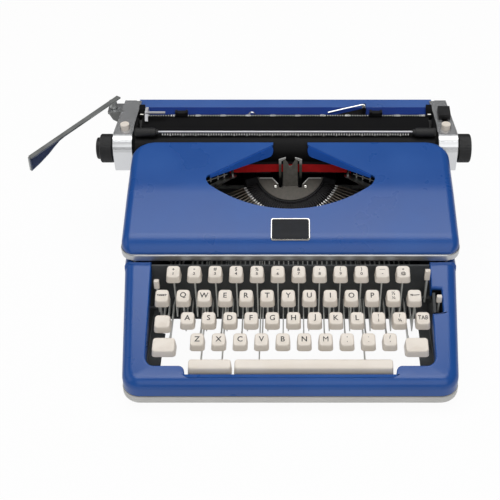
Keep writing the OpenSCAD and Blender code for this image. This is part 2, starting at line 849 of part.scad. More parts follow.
// Side outline of an end plate, drawn in by d
module end_outline(d) {
    c = [end_front, platen_z];
    low = [78.5, 87.4];
    low_r = 5.5;
    back = 137 - d;
    polygon(concat(arc(low, low_r - d, 180, 270, 4),
        [[96.5, low[1] - low_r + d], [99, 86.4 + d], [122, 86.4 + d], [back, 97 + d], [back, 125.5],
        [134.5, 128 - d]],
        arc(c, end_r - d, 90 + end_slope, 180, 8)));
}

// Height of an end plate's sloping top
function end_top(y) =
    platen_z + end_r * cos(end_slope) + (y - end_front + end_r * sin(end_slope)) * tan(end_slope);

// Black carriage bed with end walls, rail blocks and rack
module carriage_frame() {
    wall_in = end_in - wall_t;
    color(dark) translate([carriage_x, 0, 0]) {
        for (s = [-1, 1]) {
            x0 = s > 0 ? wall_in : -end_in;
            difference() {
                along_x(x0, x0 + wall_t) {
                    end_outline(1.2);
                    polygon([[feed_y - 4.2, feed_z - 5.4], [feed_y + 12, feed_z - 5.4], [feed_y + 17, 88.5],
                        [feed_y + 17, 98], [76, 98], [feed_y - 4.2, feed_z + 4.4]]);
                }
                rod_x(x0 - 1, x0 + wall_t + 1, platen_y, platen_z, platen_shaft_r + fit);
                rod_x(x0 - 1, x0 + wall_t + 1, feed_y, feed_z, feed_shaft + fit);
            }
            p0 = s > 0 ? wall_in - 2.6 : -wall_in - 1;
            rod_x(p0, p0 + 3.6, bail_pin_y, bail_pin_z, bail_pin);
        }
        block([-wall_in - 1, 97, bed_z], [wall_in + 1, 136, bed_z + bed_t]);
        for (y = rail_y) {
            difference() {
                block([-block_l / 2, y - block_d / 2, block_z], [block_l / 2, y + block_d / 2, bed_z + 1]);
                rod_x(-block_l / 2 - 1, block_l / 2 + 1, y, rail_z, rail_r + fit);
            }
        }
        block([-rack_half, gear_y - 2, gear_z + gear_r + 1.4], [rack_half, gear_y + 2, bed_z + 1]);
        teeth = floor((rack_half - abs(carriage_x)) / (PI * gear_m)) - 1;
        translate([-carriage_x, gear_y + 2, gear_z + gear_r]) rotate([90, 0, 0]) linear_extrude(4)
            for (i = [-teeth:teeth]) {
                translate([(i + 0.5) * PI * gear_m, 0])
                    polygon([[-0.75, 2], [0.75, 2], [0.45, -0.7], [-0.45, -0.7]]);
            }
    }
}

// Plan of an end plate that narrows to the back, drawn in by d
module end_plan(s, d) {
    x0 = end_in - 2;
    x1 = end_in + end_w - d;
    back = 145;
    linear_extrude(200) polygon([for (p = [[x0, 60], [x1, 60], [x1, end_front], [x1 - end_taper, 137],
        [x1 - end_taper, back], [x0, back]]) [s * p[0], p[1]]]);
}

// Bright end plate, hollow toward the platen; s gives the side
module end_plate(s) {
    x0 = s > 0 ? end_in : -end_in - end_w;
    h0 = s > 0 ? end_in - 1 : -end_in - end_w + 2;
    button_x = s * (end_in + button_dx);
    difference() {
        intersection() {
            along_x(x0, x0 + end_w) end_outline(0);
            end_plan(s, 0);
        }
        intersection() {
            along_x(h0, h0 + end_w - 1) end_outline(2);
            end_plan(s, 2);
        }
        rod_x(x0 - 1, x0 + end_w + 1, platen_y, platen_z, platen_shaft_r + fit);
        translate([button_x, button_y, 112]) cylinder(h = 30, r = button_r + gap);
        if (s > 0) {
            block([release_c - 2, release_y - 3.5, 115], [release_c + 4.4, release_y + 9.5, 135]);
        }
    }
}

module left_end_plate() {
    color(bright) translate([carriage_x, 0, 0]) {
        end_plate(-1);
        z1 = lever_z - gap;
        x1 = end_taper + 0.4 - end_in - end_w;
        block([lever_x - 5, lever_y - 8, z1 - shelf_t], [x1, lever_y + 7, z1]);
        translate([lever_x, lever_y, z1 - 1]) cylinder(h = 6.9, r = lever_pin);
    }
}

module right_end_plate() {
    color(bright) translate([carriage_x, 0, 0]) end_plate(1);
}

// Painted folded sheet behind the platen that the paper leans on
module paper_table() {
    x = end_in - wall_t;
    y0 = rail_front + rail_t;
    color(blue) translate([carriage_x, 0, 0]) {
        along_x(-x, x) polygon([[y0, rail_low], [y0, rail_low + 1.9], [128, 123.9], [138, 127], [138, 125.2],
            [128.4, 122.2], [y0 + 2.2, rail_low + 1.3], [y0 + 2.2, rail_low]]);
        for (y = [119.2, 127.4]) {
            block([support_x - 2, y, y < 125 ? 117.5 : 123], [support_x + 2, y + 1.2, 128]);
        }
        rod_y(support_x, 120, 128, support_z, support_pin);
    }
}

// Black curved guide under and behind the platen
module paper_pan() {
    x = 146;
    r0 = platen_r + 1.6;
    r1 = r0 + 1.2;
    a = 35;
    c = [platen_y, platen_z];
    color(dark) translate([carriage_x, 0, 0]) along_x(-x, x)
        polygon(concat(arc(c, r0, -85, a, 14), [[rail_front, rail_top - 1], [rail_front, rail_top - 2.4]],
            arc(c, r1, a - 3, -85, 14)));
}

// Black bar across the carriage that the margin stops slide on
module margin_rail() {
    x = end_in - wall_t;
    color(dark) translate([carriage_x, 0, 0])
        block([-x, rail_front, rail_low], [x, rail_front + rail_t, rail_top]);
}

// Spindle with four rubber rollers that grips the paper under the platen
module feed_roller() {
    color(dark) translate([carriage_x, 0, 0]) {
        rod_x(-end_in + 0.4, end_in - 0.4, feed_y, feed_z, feed_shaft);
        for (x = [-125, -55, 15, 85]) {
            rod_x(x, x + 40, feed_y, feed_z, feed_r);
        }
    }
}

// Hard rubber roller that backs the paper
module platen() {
    color(dark) translate([carriage_x, 0, 0]) difference() {
        rod_x(-platen_half, platen_half, platen_y, platen_z, platen_r);
        rod_x(-platen_half - 1, platen_half + 1, platen_y, platen_z, platen_shaft_r + 0.05);
    }
}

// Steel shaft of the platen with its line-spacing ratchet wheel
module platen_shaft() {
    color(steel) translate([carriage_x, 0, 0]) {
        rod_x(-shaft_half_l + 3, shaft_half_r - 3, platen_y, platen_z, platen_shaft_r);
        translate([-end_in - 7, platen_y, platen_z]) rotate([0, 90, 0]) linear_extrude(3) {
            circle(6.8);
            for (i = [0:23]) {
                rotate(i * 15) polygon([[6, -0.9], [6, 0.9], [8.2, 0.7]]);
            }
        }
    }
}

// Moulded knobs on both ends of the platen shaft
module platen_knobs() {
    knob_in = end_in + end_w + gap + 0.2;
    color(dark) translate([carriage_x, 0, 0]) difference() {
        union() {
            rod_x(-185.2, -knob_in, platen_y, platen_z, knob_r);
            rod_x(-189.2, -184, platen_y, platen_z, knob_r - 3.5);
            rod_x(knob_in, 185.4, platen_y, platen_z, knob_r);
        }
        rod_x(-shaft_half_l + 2.6, 1 - knob_in, platen_y, platen_z, platen_shaft_r + 0.05);
        rod_x(knob_in - 1, shaft_half_r - 2.6, platen_y, platen_z, platen_shaft_r + 0.05);
    }
}

// Hinged bar that holds the paper down
module paper_bail() {
    arm_in = 147.4;
    arm_t = 2.2;
    color(bright) translate([carriage_x, 0, 0]) {
        for (s = [-1, 1]) {
            x0 = s > 0 ? arm_in : -arm_in - arm_t;
            difference() {
                along_x(x0, x0 + arm_t) polygon([[101.2, 109], [107, 109], [107, 124], [104, 127.2],
                    [bail_y, bail_z + 2.2], [bail_y - 2.2, bail_z], [bail_y, bail_z - 2.1], [100.4, 122.6],
                    [101.2, 121]]);
                rod_x(x0 - 1, x0 + arm_t + 1, bail_pin_y, bail_pin_z, bail_pin + fit);
            }
        }
        rod_x(-arm_in - 1, arm_in + 1, bail_y, bail_z, bail_r);
        block([-124, bail_y - 0.6, bail_z - 3.4], [124, bail_y + 0.6, bail_z + 2.2]);
    }
}

// Rubber rollers on the ends of the bail
module bail_rollers() {
    color(dark) translate([carriage_x, 0, 0]) for (s = [-1, 1]) {
        x0 = s > 0 ? 125.5 : -146.5;
        difference() {
            rod_x(x0, x0 + 21, bail_y, bail_z, 4.4);
            rod_x(x0 - 1, x0 + 22, bail_y, bail_z, bail_r + fit);
        }
    }
}

// Bright blade that turns the platen and draws the carriage back
module return_lever() {
    web_t = 2;
    flange = 2.5;
    tail = 9;
    hub_r = 4;
    swing = 235.6;
    color(bright) translate([carriage_x + lever_x, lever_y, 0]) difference() {
        union() {
            translate([0, 0, lever_z]) cylinder(h = lever_top - lever_z - 1, r = hub_r);
            rotate([0, 0, swing]) {
                block([-tail, -flange, lever_top - 1.6], [116, flange, lever_top]);
                translate([0, web_t / 2, 0]) rotate([90, 0, 0]) linear_extrude(web_t)
                    polygon([[-tail, 131.2], [70, 131.2], [78, 130.4], [86, 127.6], [94, 124.3], [106, 121],
                    [118, 118.8], [118.6, 119.4], [118.2, lever_top], [-tail, lever_top]]);
            }
        }
        translate([0, 0, lever_z - 1]) cylinder(h = lever_top - lever_z - 1, r = lever_pin + fit);
    }
}

// Black slide that frees the paper
module paper_release() {
    c = release_c;
    y0 = release_y;
    y1 = y0 + 14;
    color(dark) translate([carriage_x, 0, 0]) {
        along_x(c - 5, c + 7) polygon([[y0, end_top(y0) + gap], [y1, end_top(y1) + gap],
            [y1, end_top(y1) + 4.5], [y0, end_top(y0) + 5]]);
        block([c - 1.2, y0 + 3, 114], [c + 3.6, y0 + 8.5, end_top(y0 + 3) + 2.5]);
    }
}

// Cream button on an end plate that frees the carriage
module release_button(s) {
    color(cream) translate([carriage_x + s * (end_in + button_dx), button_y, 113]) {
        cylinder(h = 2, r = button_r + 0.7);
        cylinder(h = 12.5, r = button_r);
    }
}

module left_carriage_release() {
    release_button(-1);
}

module right_carriage_release() {
    release_button(1);
}

// Black sliding stop on the margin rail
module margin_stop(x) {
    color(dark) translate([carriage_x + x, 0, 0]) {
        block([-6.5, rail_front - 0.6, stop_z], [6.5, rail_front + 2.8, stop_z + 3.6]);
        block([-2, rail_front, stop_z + 3], [2, rail_front + 2.8, stop_z + 4.7]);
    }
}

module left_margin_stop() {
    margin_stop(-106);
}

module right_margin_stop() {
    margin_stop(92);
}

// Folding wire that holds a sheet upright
module paper_support() {
    wire = 1.1;
    color(bright) translate([carriage_x, 0, 0]) difference() {
        union() {
            rod_y(support_x, 120.8, 127, support_z, 2 * support_pin);
            for (y = [122, 125.8]) {
                rod_x(support_x - 37, support_x - 1, y, 127.2, wire);
            }
            rod_y(support_x - 37, 122, 125.8, 127.2, wire);
        }
        rod_y(support_x, 118, 130, support_z, support_pin + fit);
    }
}

// Bright edge guide that slides along the paper table
module paper_guide() {
    bar_x = -141;
    bar_w = 3;
    arm_y = 112.4;
    arm_z = 126.4;
    color(bright) translate([carriage_x, 0, 0]) {
        along_x(bar_x - bar_w / 2, bar_x + bar_w / 2)
            polygon([[123.2, 121.8], [122.4, 127.8], [114, 128.2], [107.6, 120.6], [108.8, 119.4],
            [115.2, arm_z], [120.6, arm_z], [121.2, 120.4]]);
        block([bar_x - 1, arm_y, arm_z], [bar_x + 19, arm_y + 2.4, arm_z + 1.4]);
    }
}

// Key cap standing on its lower face, tapered on all sides, its top tipped to the front
module cap(w, d, h) {
    side = 1;
    front = 0.8;
    intersection() {
        along_x(-w / 2, w / 2) polygon([[-d / 2, 0], [d / 2, 0], [d / 2 - front, h + cap_tip],
            [front - d / 2, h - cap_tip]]);
        translate([0, d / 2, 0]) rotate([90, 0, 0]) linear_extrude(d)
            polygon([[-w / 2, 0], [w / 2, 0], [w / 2 - side, h + cap_tip], [side - w / 2, h + cap_tip]]);
    }
}

// Key lever: bar from the shaft to the key, and an upright or slanted strip up to the height z1
module lever(x, y, z1, slanted = false) {
    stem = 2.5;
    tip = 3;
    rise = 28;
    z0 = pivot_z - lever_h / 2;
    z2 = z0 + lever_h;
    front = slanted ? [[y - stem, z1 - tip], [y - stem + rise, z0]] : [[y - stem, z0]];
    back = slanted ? [[y + stem + rise, z2]] : [[y + stem + 8, z2], [y + stem, z2 + 10]];
    difference() {
        along_x(x - lever_t / 2, x + lever_t / 2) {
            polygon(concat(front, [[pivot_y + lever_tail, z0], [pivot_y + lever_tail, z2]], back,
                [[y + stem, z1], [y - stem, z1]]));
            translate([pivot_y, pivot_z]) circle(eye_r);
        }
        rod_x(x - 2, x + 2, pivot_y, pivot_z, shaft_r + fit);
    }
}

module row_keys(r) {
    color(cream) for (i = [0:row_n[r] - 1]) {
        if (!(r == centre_row && i == centre_i)) {
            translate([key_x(r, i), row_y[r], row_z[r] - key_h]) cap(key_w, key_d, key_h);
        }
    }
}

module row_levers(r) {
    color(steel) for (i = [0:row_n[r] - 1]) {
        if (!(r == centre_row && i == centre_i)) {
            lever(key_x(r, i), row_y[r], row_z[r] - key_h, r > 1);
        }
    }
}

// One key with a cap of its own size on a lever at lx
module single_key(x, lx, y, w, top, d = key_d) {
    color(cream) {
        translate([x, y, top - key_h]) cap(w, d, key_h);
        lever(lx, y, top - key_h + 1);
    }
}

module number_row_keys() {
    row_keys(0);
}

module upper_row_keys() {
    row_keys(1);
}

module home_row_keys() {
    row_keys(2);
}

module lower_row_keys() {
    row_keys(3);
}

module number_row_levers() {
    row_levers(0);
}

module upper_row_levers() {
    row_levers(1);
}

module home_row_levers() {
    row_levers(2);
}

module lower_row_levers() {
    row_levers(3);
}

// Key that works the middle typebar
module centre_key() {
    x = key_x(centre_row, centre_i);
    single_key(x, x, row_y[centre_row], key_w, row_z[centre_row]);
}

// Long bar on two arms
module bar_key(x0, x1, arms) {
    color(cream) {
        translate([(x0 + x1) / 2, space_y, space_z - space_h]) cap(x1 - x0, space_d, space_h);
        for (x = arms) {
            lever(x, space_y + 2, space_z - space_h + 1);
        }
    }
}

module space_bar() {
    bar_key(bar_x0, bar_x1, space_arms);
}

module repeat_space_bar() {
    bar_key(auto_x0, auto_x1, auto_arms);
}

// Both shift keys on levers joined by a cross bar behind the shaft
module shift_keys() {
    z0 = pivot_z - lever_h / 2;
    y0 = pivot_y + lever_tail;
    top = row_z[3] - 1.4;
    for (i = [0, 1]) {
        single_key(shift_x[i], shift_lever_x[i], row_y[3] - 5, shift_w, top, key_d + 1.5);
        x0 = shift_lever_x[i] - lever_t / 2;
        color(cream) block([x0, y0 - 1, z0], [x0 + lever_t, y0 + 1, z0 + lever_h]);
    }
    x1 = shift_lever_x[0] - lever_t / 2;
    color(cream) block([x1, y0 + 0.7, z0], [shift_lever_x[1] + lever_t / 2, y0 + 2.4, z0 + lever_h]);
}

module shift_lock() {
    single_key(lock_x, lock_x, row_y[2] - 4, lock_w, row_z[2]);
}

module margin_release_key() {
    single_key(release_x, release_lever_x, row_y[1], key_w, row_z[1]);
}

module backspace_key() {
    single_key(back_x, back_lever_x, row_y[1], key_w, row_z[1]);
}

module tab_key() {
    single_key(tab_x, tab_lever_x, row_y[2], key_w, row_z[2]);
}

// Small lever with a cream finger tab, turning on a pin of the frame
module finger_lever(at, top, w, h) {
    arm = 0.7;
    color(cream) translate([at[0], at[1], 0]) difference() {
        union() {
            block([-arm, -2, at[2] - 4], [arm, 2, top - 2]);
            block([-w / 2, -2, top - h], [w / 2, 2, top]);
        }
        rod_x(-w, w, 0, at[2], finger_pin + fit);
    }
}

module touch_lever() {
    finger_lever(touch_at, 75.3, 4.8, 9);
}

module tab_set_lever() {
    finger_lever(set_at, 80.5, 5, 11);
}

module colour_selector() {
    finger_lever(colour_at, 65.5, 3.4, 8);
}

lower_shell();
base_trim();
rubber_feet();
chassis_frame();
key_comb();
lever_shaft();
carriage_rails();
spool_cups();
escapement_wheel();
mainspring_drum();
top_cover();
cover_trim();
nameplate();
segment();
type_guide();
typebars();
centre_typebar();
ribbon_vibrator();
ribbon();
left_spool();
right_spool();
carriage_frame();
left_end_plate();
right_end_plate();
paper_table();
paper_pan();
margin_rail();
feed_roller();
platen();
platen_shaft();
platen_knobs();
paper_bail();
bail_rollers();
return_lever();
paper_release();
left_carriage_release();
right_carriage_release();
left_margin_stop();
right_margin_stop();
paper_support();
paper_guide();
number_row_keys();
upper_row_keys();
home_row_keys();
lower_row_keys();
number_row_levers();
upper_row_levers();
home_row_levers();
lower_row_levers();
centre_key();
space_bar();
repeat_space_bar();
shift_keys();
shift_lock();
margin_release_key();
backspace_key();
tab_key();
touch_lever();
tab_set_lever();
colour_selector();
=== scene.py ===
import math
import bmesh
import bpy
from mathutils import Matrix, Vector


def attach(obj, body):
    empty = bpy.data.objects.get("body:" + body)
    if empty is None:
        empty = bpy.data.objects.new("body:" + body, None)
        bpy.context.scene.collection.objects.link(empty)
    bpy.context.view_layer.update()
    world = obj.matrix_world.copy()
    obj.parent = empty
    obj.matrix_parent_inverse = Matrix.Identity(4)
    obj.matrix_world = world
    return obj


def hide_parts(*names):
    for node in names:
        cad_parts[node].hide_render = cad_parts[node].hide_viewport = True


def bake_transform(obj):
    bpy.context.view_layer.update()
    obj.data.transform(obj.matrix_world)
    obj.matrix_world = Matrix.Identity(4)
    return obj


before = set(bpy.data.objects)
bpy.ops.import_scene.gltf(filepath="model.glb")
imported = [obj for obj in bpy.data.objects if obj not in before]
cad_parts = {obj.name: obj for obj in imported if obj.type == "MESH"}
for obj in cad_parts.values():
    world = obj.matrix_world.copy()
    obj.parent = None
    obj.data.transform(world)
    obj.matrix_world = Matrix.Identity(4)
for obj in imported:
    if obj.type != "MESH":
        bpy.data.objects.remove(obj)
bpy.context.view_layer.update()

# Lower shell: one deep-drawn steel pressing, stoved blue outside and lacquered black inside, round the
# keyboard well, both cheeks and the deck under the ribbon cover. The outer edges are drawn round, and
# the edge of the well is turned down.


def colour(code):
    """An sRGB hex colour as the linear colour a shader takes."""
    parts = [int(code[i:i + 2], 16) / 255 for i in (1, 3, 5)]
    return [c / 12.92 if c <= 0.04045 else ((c + 0.055) / 1.055) ** 2.4 for c in parts] + [1.0]


def add(tree, kind, sockets, **settings):
    """One shader node with its settings, and each socket given a number or linked to another node."""
    made = tree.nodes.new(kind)
    for key, value in settings.items():
        setattr(made, key, value)
    for key, value in sockets.items():
        if isinstance(value, bpy.types.NodeSocket):
            tree.links.new(value, made.inputs[key])
        else:
            made.inputs[key].default_value = value
    return made


def finish(name, low, high, patch, rough, grain, depth, stretch=(1, 1, 1), **shader):
    """A worked surface: two close colours in patches of `patch` mm, the roughness drifting between two
    values with them, and a relief `depth` mm deep in a grain of `grain` mm, drawn out by `stretch`."""
    made = bpy.data.materials.new(name)
    made.use_nodes = True
    tree = made.node_tree
    skin = tree.nodes["Principled BSDF"]
    place = add(tree, "ShaderNodeTexCoord", {}).outputs["Object"]
    drawn = add(tree, "ShaderNodeMapping", {"Vector": place, "Scale": stretch}).outputs["Vector"]
    cloud = add(tree, "ShaderNodeTexNoise", {"Vector": drawn, "Scale": 1000 / patch, "Detail": 4.0})
    ramp = add(tree, "ShaderNodeValToRGB", {"Fac": cloud.outputs["Fac"]})
    ramp.color_ramp.elements[0].position = 0.35
    ramp.color_ramp.elements[0].color = colour(low)
    ramp.color_ramp.elements[1].position = 0.65
    ramp.color_ramp.elements[1].color = colour(high)
    drift = add(tree, "ShaderNodeMapRange", {"Value": cloud.outputs["Fac"], "From Min": 0.3,
                "From Max": 0.7, "To Min": rough[0], "To Max": rough[1]})
    fine = add(tree, "ShaderNodeTexNoise", {"Vector": drawn, "Scale": 1000 / grain, "Detail": 3.0})
    relief = add(tree, "ShaderNodeBump", {"Height": fine.outputs["Fac"], "Distance": depth / 1000,
                 "Strength": 1.0})
    tree.links.new(ramp.outputs["Color"], skin.inputs["Base Color"])
    tree.links.new(drift.outputs["Result"], skin.inputs["Roughness"])
    tree.links.new(relief.outputs["Normal"], skin.inputs["Normal"])
    for key, value in shader.items():
        skin.inputs[key.replace("_", " ")].default_value = value
    return made


def soften(thing, sharp=32):
    """Smooth shading that keeps true edges crisp and large flats flat."""
    thing.data.shade_smooth()
    thing.data.set_sharp_from_angle(angle=math.radians(sharp))
    even = thing.modifiers.new("even_normals", "WEIGHTED_NORMAL")
    even.keep_sharp = True


def solid(name, shape):
    """A thing in the scene with a mesh from points in millimetres."""
    points, faces = shape
    mesh = bpy.data.meshes.new(name)
    mesh.from_pydata([(x / 1000, y / 1000, z / 1000) for x, y, z in points], [], faces)
    made = bpy.data.objects.new(name, mesh)
    bpy.context.scene.collection.objects.link(made)
    return made


def face_out(mesh, weld):
    """Turn all faces of a mesh outwards, with points that coincide joined first where asked."""
    sheet = bmesh.new()
    sheet.from_mesh(mesh)
    if weld:
        bmesh.ops.remove_doubles(sheet, verts=sheet.verts, dist=1e-7)
    bmesh.ops.recalc_face_normals(sheet, faces=sheet.faces)
    sheet.to_mesh(mesh)
    sheet.free()


def piece(name, shape, skin, body, slot, *stands_for, sharp=32):
    """A solid with its skin, riding on a body in place of the nodes that it stands for."""
    made = solid(name, shape)
    face_out(made.data, weld=True)
    made.data.materials.append(skin)
    soften(made, sharp)
    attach(made, body)
    if stands_for:
        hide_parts(*stands_for)
    return made


def loft(rings, along=False, caps=False):
    """Skin over closed rows of points: `along` joins the last row to the first, `caps` shuts the ends."""
    n, m = len(rings[0]), len(rings)
    faces = []
    for i in range(m if along else m - 1):
        for j in range(n):
            a, b, k = i * n, (i + 1) % m * n, (j + 1) % n
            faces.append([a + j, a + k, b + k, b + j])
    if caps:
        faces += [list(range(n)), [(m - 1) * n + j for j in range(n)]]
    return [p for ring in rings for p in ring], faces


def bow(cx, cy, r, start, end, n):
    """Points of an arc in a plane, angles in degrees."""
    turns = [math.radians(start + (end - start) * i / n) for i in range(n + 1)]
    return [(cx + r * math.cos(a), cy + r * math.sin(a)) for a in turns]


def drawn_in(path, d, closed=True):
    """A plane path moved to its left by d, one value or a list with one for each point."""
    n = len(path)
    reach = d if isinstance(d, list) else [d] * n
    moved = []
    for i, (x, y) in enumerate(path):
        before = path[i - 1] if closed or i else path[i]
        after = path[(i + 1) % n] if closed or i < n - 1 else path[i]
        tx, ty = after[0] - before[0], after[1] - before[1]
        size = math.hypot(tx, ty) or 1.0
        moved.append((x - ty / size * reach[i], y + tx / size * reach[i]))
    return moved


# Stoved enamel: a hard deep blue coat with a soft gloss and the faint orange peel of sprayed paint.
# The peel is about 1 mm across; here it is drawn at 2 mm so that it shows.
blue_enamel = finish("stoved_blue_enamel", "#164C97", "#1B529E", 60, (0.26, 0.32), 2.0, 0.006, IOR=1.5,
                     Specular_IOR_Level=0.46)
# Matt black lacquer on steel: deep black, with hardly any sheen, so folds show only as soft edges.
black_enamel = finish("matt_black_lacquer", "#0A0A0B", "#101012", 20, (0.65, 0.8), 1.0, 0.01, IOR=1.45,
                      Specular_IOR_Level=0.15)


def shell_top(y):
    """Height of the shell's upper face: cheeks rising to a small lip, the deck and the rear wall."""
    marks = [(-166, 34), (-154, 34), (-56, 74.2), (-54.6, 75.6), (-54.3, 75.9), (-53.6, 73.6),
             (-38, 73.6), (-36, 75), (88, 75), (92, 80), (141, 80)]
    for (y0, z0), (y1, z1) in zip(marks, marks[1:]):
        if y <= y1:
            return z0 + (z1 - z0) * max(0.0, (y - y0) / (y1 - y0))
    return marks[-1][1]


shell_front, shell_back, well_side, deck_side, lip_y = -165, 140, 128.5, 146.0, -53.6
slot_side, slot_front, slot_back = 138.0, -99.5, -78
shell_rows = [-132, -118, -107, -102, -100.5, slot_front, -97.5, -95.5, -91, -82, -80, slot_back, -77,
              -66, -58, -57, -56, -55.2, -54.6, -54.3, lip_y, -52.6, -51.6, -46, -38, -37, -36, 20, 70,
              87, 88, 90, 92, 93, 108]


def shell_side(y):
    """Half width of the shell, which narrows to the front."""
    return 155 - max(0.0, 5 * (-45 - y) / 103)


def half_shell(slotted):
    """Pairs of outer and inner edge points of one half, from the front's middle to the back's middle."""
    bar_front, bar_end, notch_end, corner_r = -156, 88.5, 98.5, 5
    notch_y = bar_front + corner_r
    pairs = [((x, shell_front), (x, bar_front)) for x in (0, 30, 60, 80, bar_end)]
    pairs += [((bar_end + i * 2.5, shell_front), p)
              for i, p in enumerate(bow(bar_end, notch_y, corner_r, -90, 0, 4))][1:]
    pairs += [((100.5 + i * 3, shell_front), p)
              for i, p in enumerate(bow(notch_end, notch_y, corner_r, 180, 90, 4))]
    pairs += [((122, shell_front), (116, -146)), ((133, shell_front), (120.5, -146))]
    pairs += list(zip(bow(133, -148, 17, -90, 0, 10)[1:], bow(120.5, -138, 8, -90, 0, 10)[1:]))
    for y in shell_rows:
        x = well_side if y <= lip_y else min(deck_side, well_side + (y - lip_y) * 8.75)
        if slotted and slot_front <= y <= slot_back:
            x = slot_side
        pairs.append(((shell_side(y), y), (x, y)))
    pairs += list(zip(bow(137, 122, 18, 0, 90, 10), bow(132, 122, 14, 0, 90, 10)))
    return pairs + [((x, shell_back), (x, 136)) for x in (90, 0)]


right_half = half_shell(True)
left_half = [((-a[0], a[1]), (-b[0], b[1])) for a, b in half_shell(False)]
shell_pairs = right_half + left_half[-2:0:-1]
shell_outer = [a for a, b in shell_pairs]
shell_inner = [b for a, b in shell_pairs]


def shell_ring(path, inset, drop):
    """A ring of the shell at an inset from its edge, lying `drop` below the upper face."""
    drops = drop if isinstance(drop, list) else [drop] * len(path)
    return [(x, y, shell_top(y) - d) for (x, y), d in zip(drawn_in(path, inset), drops)]


# The outer edge is drawn to 10 mm round the keyboard, 6 mm by the deck and 2.5 mm along the rear wall.
edge_round = [10.0 if y <= -56 else 6.0 if y < 100 else max(2.5, 6.0 - (y - 100) * 0.2)
              for x, y in shell_outer]
lip_round, shell_in, sheet_in, turn_down, shell_base = 1.8, 0.8, 2.6, 11, 16.5
shell_rings = [[(x, y, shell_base) for x, y in drawn_in(shell_outer, inset)]
               for inset in (sheet_in, shell_in)]
for step in range(9):
    turn = math.radians(11.25 * step)
    shell_rings.append(shell_ring(shell_outer, [shell_in + e * (1 - math.cos(turn)) for e in edge_round],
                                  [e * (1 - math.sin(turn)) for e in edge_round]))
for step in range(6):
    turn = math.radians(18 * step)
    shell_rings.append(shell_ring(shell_inner, lip_round * (math.sin(turn) - 1),
                                  lip_round * (1 - math.cos(turn))))
outside_rings = len(shell_rings) + 1
for inset, drop in ((0, turn_down), (-1.0, turn_down), (-1.2, 2.4)):
    shell_rings.append(shell_ring(shell_inner, inset, drop))
shell_rings.append(shell_ring(shell_outer, [shell_in + e for e in edge_round], 1.8))
shell_rings.append(shell_ring(shell_outer, sheet_in, [e + 1 for e in edge_round]))
shell = piece("shell_pressing", loft(shell_rings, along=True), blue_enamel, "chassis", "blue_paint",
              "lower_shell", sharp=40)
shell.data.materials.append(black_enamel)
for face in shell.data.polygons:
    face.material_index = 1 if face.index >= outside_rings * len(shell_pairs) else 0

# Plinth: a light grey painted ring that the shell stands on, with a thin black gasket in the joint,
# painted shade for the gap there.
# Its lower edge is rounded.

# Grey stove paint: pale and nearly matt, so it shows as a soft even band.
grey_paint = finish("pale_grey_paint", "#C9C8C4", "#D3D2CE", 40, (0.45, 0.55), 1.5, 0.01, IOR=1.5)
# Black felt gasket: dull and fibrous, seen only as a dark line, painted shade for the gap in the joint.
gap_shade_felt = finish("gap_shade_felt", "#0B0B0C", "#141416", 5, (0.9, 1.0), 0.5, 0.05, IOR=1.4)
plinth_high, plinth_low, plinth_in, plinth_out, foot_round = 15.5, 6.1, 15, 0.05, 3.4


def plinth_ring(inset, z):
    """A ring of the plinth, drawn in from the shell's outline."""
    return [(x, y, z) for x, y in drawn_in(shell_outer, inset)]


plinth_rings = [plinth_ring(inset, z) for inset, z in (
    (plinth_in, plinth_high), (1.2, plinth_high), (0.4, 15.3), (plinth_out, 14.7), (plinth_out, 10))]
for step in range(6):
    turn = math.radians(18 * step)
    plinth_rings.append(plinth_ring(plinth_out + foot_round * (1 - math.cos(turn)),
                                    9.6 - foot_round * math.sin(turn)))
plinth_rings.append(plinth_ring(plinth_in, plinth_low))
gasket_rings = [plinth_ring(inset, z) for inset, z in ((3, 15.4), (1.4, 15.4), (1.4, 16.6), (3, 16.6))]
piece("plinth", loft(plinth_rings, along=True), grey_paint, "chassis", "grey_trim", "base_trim")
piece("gasket", loft(gasket_rings, along=True), gap_shade_felt, "chassis", "rubber")

# Feet: four round buffers of moulded black rubber, each pressed from below into a corner of the plinth.
# Their lower edges are rounded, and the machine's weight rests on them.

# Natural rubber, moulded: nearly black, quite dull, with a fine mould grain.
black_rubber = finish("black_rubber", "#131313", "#1C1C1D", 8, (0.55, 0.7), 0.6, 0.02, IOR=1.52)


def joined(*shapes):
    """Several shapes as one list of points and faces."""
    points, faces = [], []
    for more, sides in shapes:
        faces += [[len(points) + i for i in side] for side in sides]
        points += more
    return points, faces


def circle(cx, cy, r, n):
    """Points round a full circle in a plane."""
    return bow(cx, cy, r, 0, 360, n)[:-1]


foot_rows = [(0.0, 5.8), (0.25, 6.5), (0.9, 7.0), (4.6, 7.0), (5.5, 6.7), (6.2, 6.0)]
feet = [loft([[(*p, z) for p in circle(fx, fy, r, 32)] for z, r in foot_rows], caps=True)
        for fx, fy in ((-138, -150), (138, -150), (-143, 128), (143, 128))]
piece("rubber_buffers", joined(*feet), black_rubber, "chassis", "rubber", "rubber_feet")

# Frame inside the shell: primed steel plates with a thin guard along each side of the well, the slotted
# comb that parts the key levers, a black liner in the selector's slot, the lever shaft, the two ground
# carriage rails and the pressed ribbon spool cups.

# Grey-black primer on the frame plates: dull and dusty, a little lighter than the lacquer.
grey_primer = finish("grey_black_primer", "#464849", "#535556", 14, (0.6, 0.75), 1.2, 0.02, IOR=1.45,
                     Specular_IOR_Level=0.3)
# Ground steel bar: cool grey, polished along its length.
ground_steel = finish("ground_steel", "#A9ABAD", "#B9BBBD", 15, (0.2, 0.32), 0.5, 0.004, (0.1, 1, 1),
                      Metallic=1.0)
# Tinned steel pressing: bright, a little clouded.
tinned_steel = finish("tinned_steel", "#B4B5B4", "#C9C9C7", 6, (0.25, 0.45), 0.8, 0.006, Metallic=1.0)
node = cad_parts


def slab(outline, levels, lay):
    """A solid of one plane outline between two levels; `lay` gives the place of (u, v) at a level."""
    return loft([[lay(u, v, w) for u, v in outline] for w in levels], caps=True)


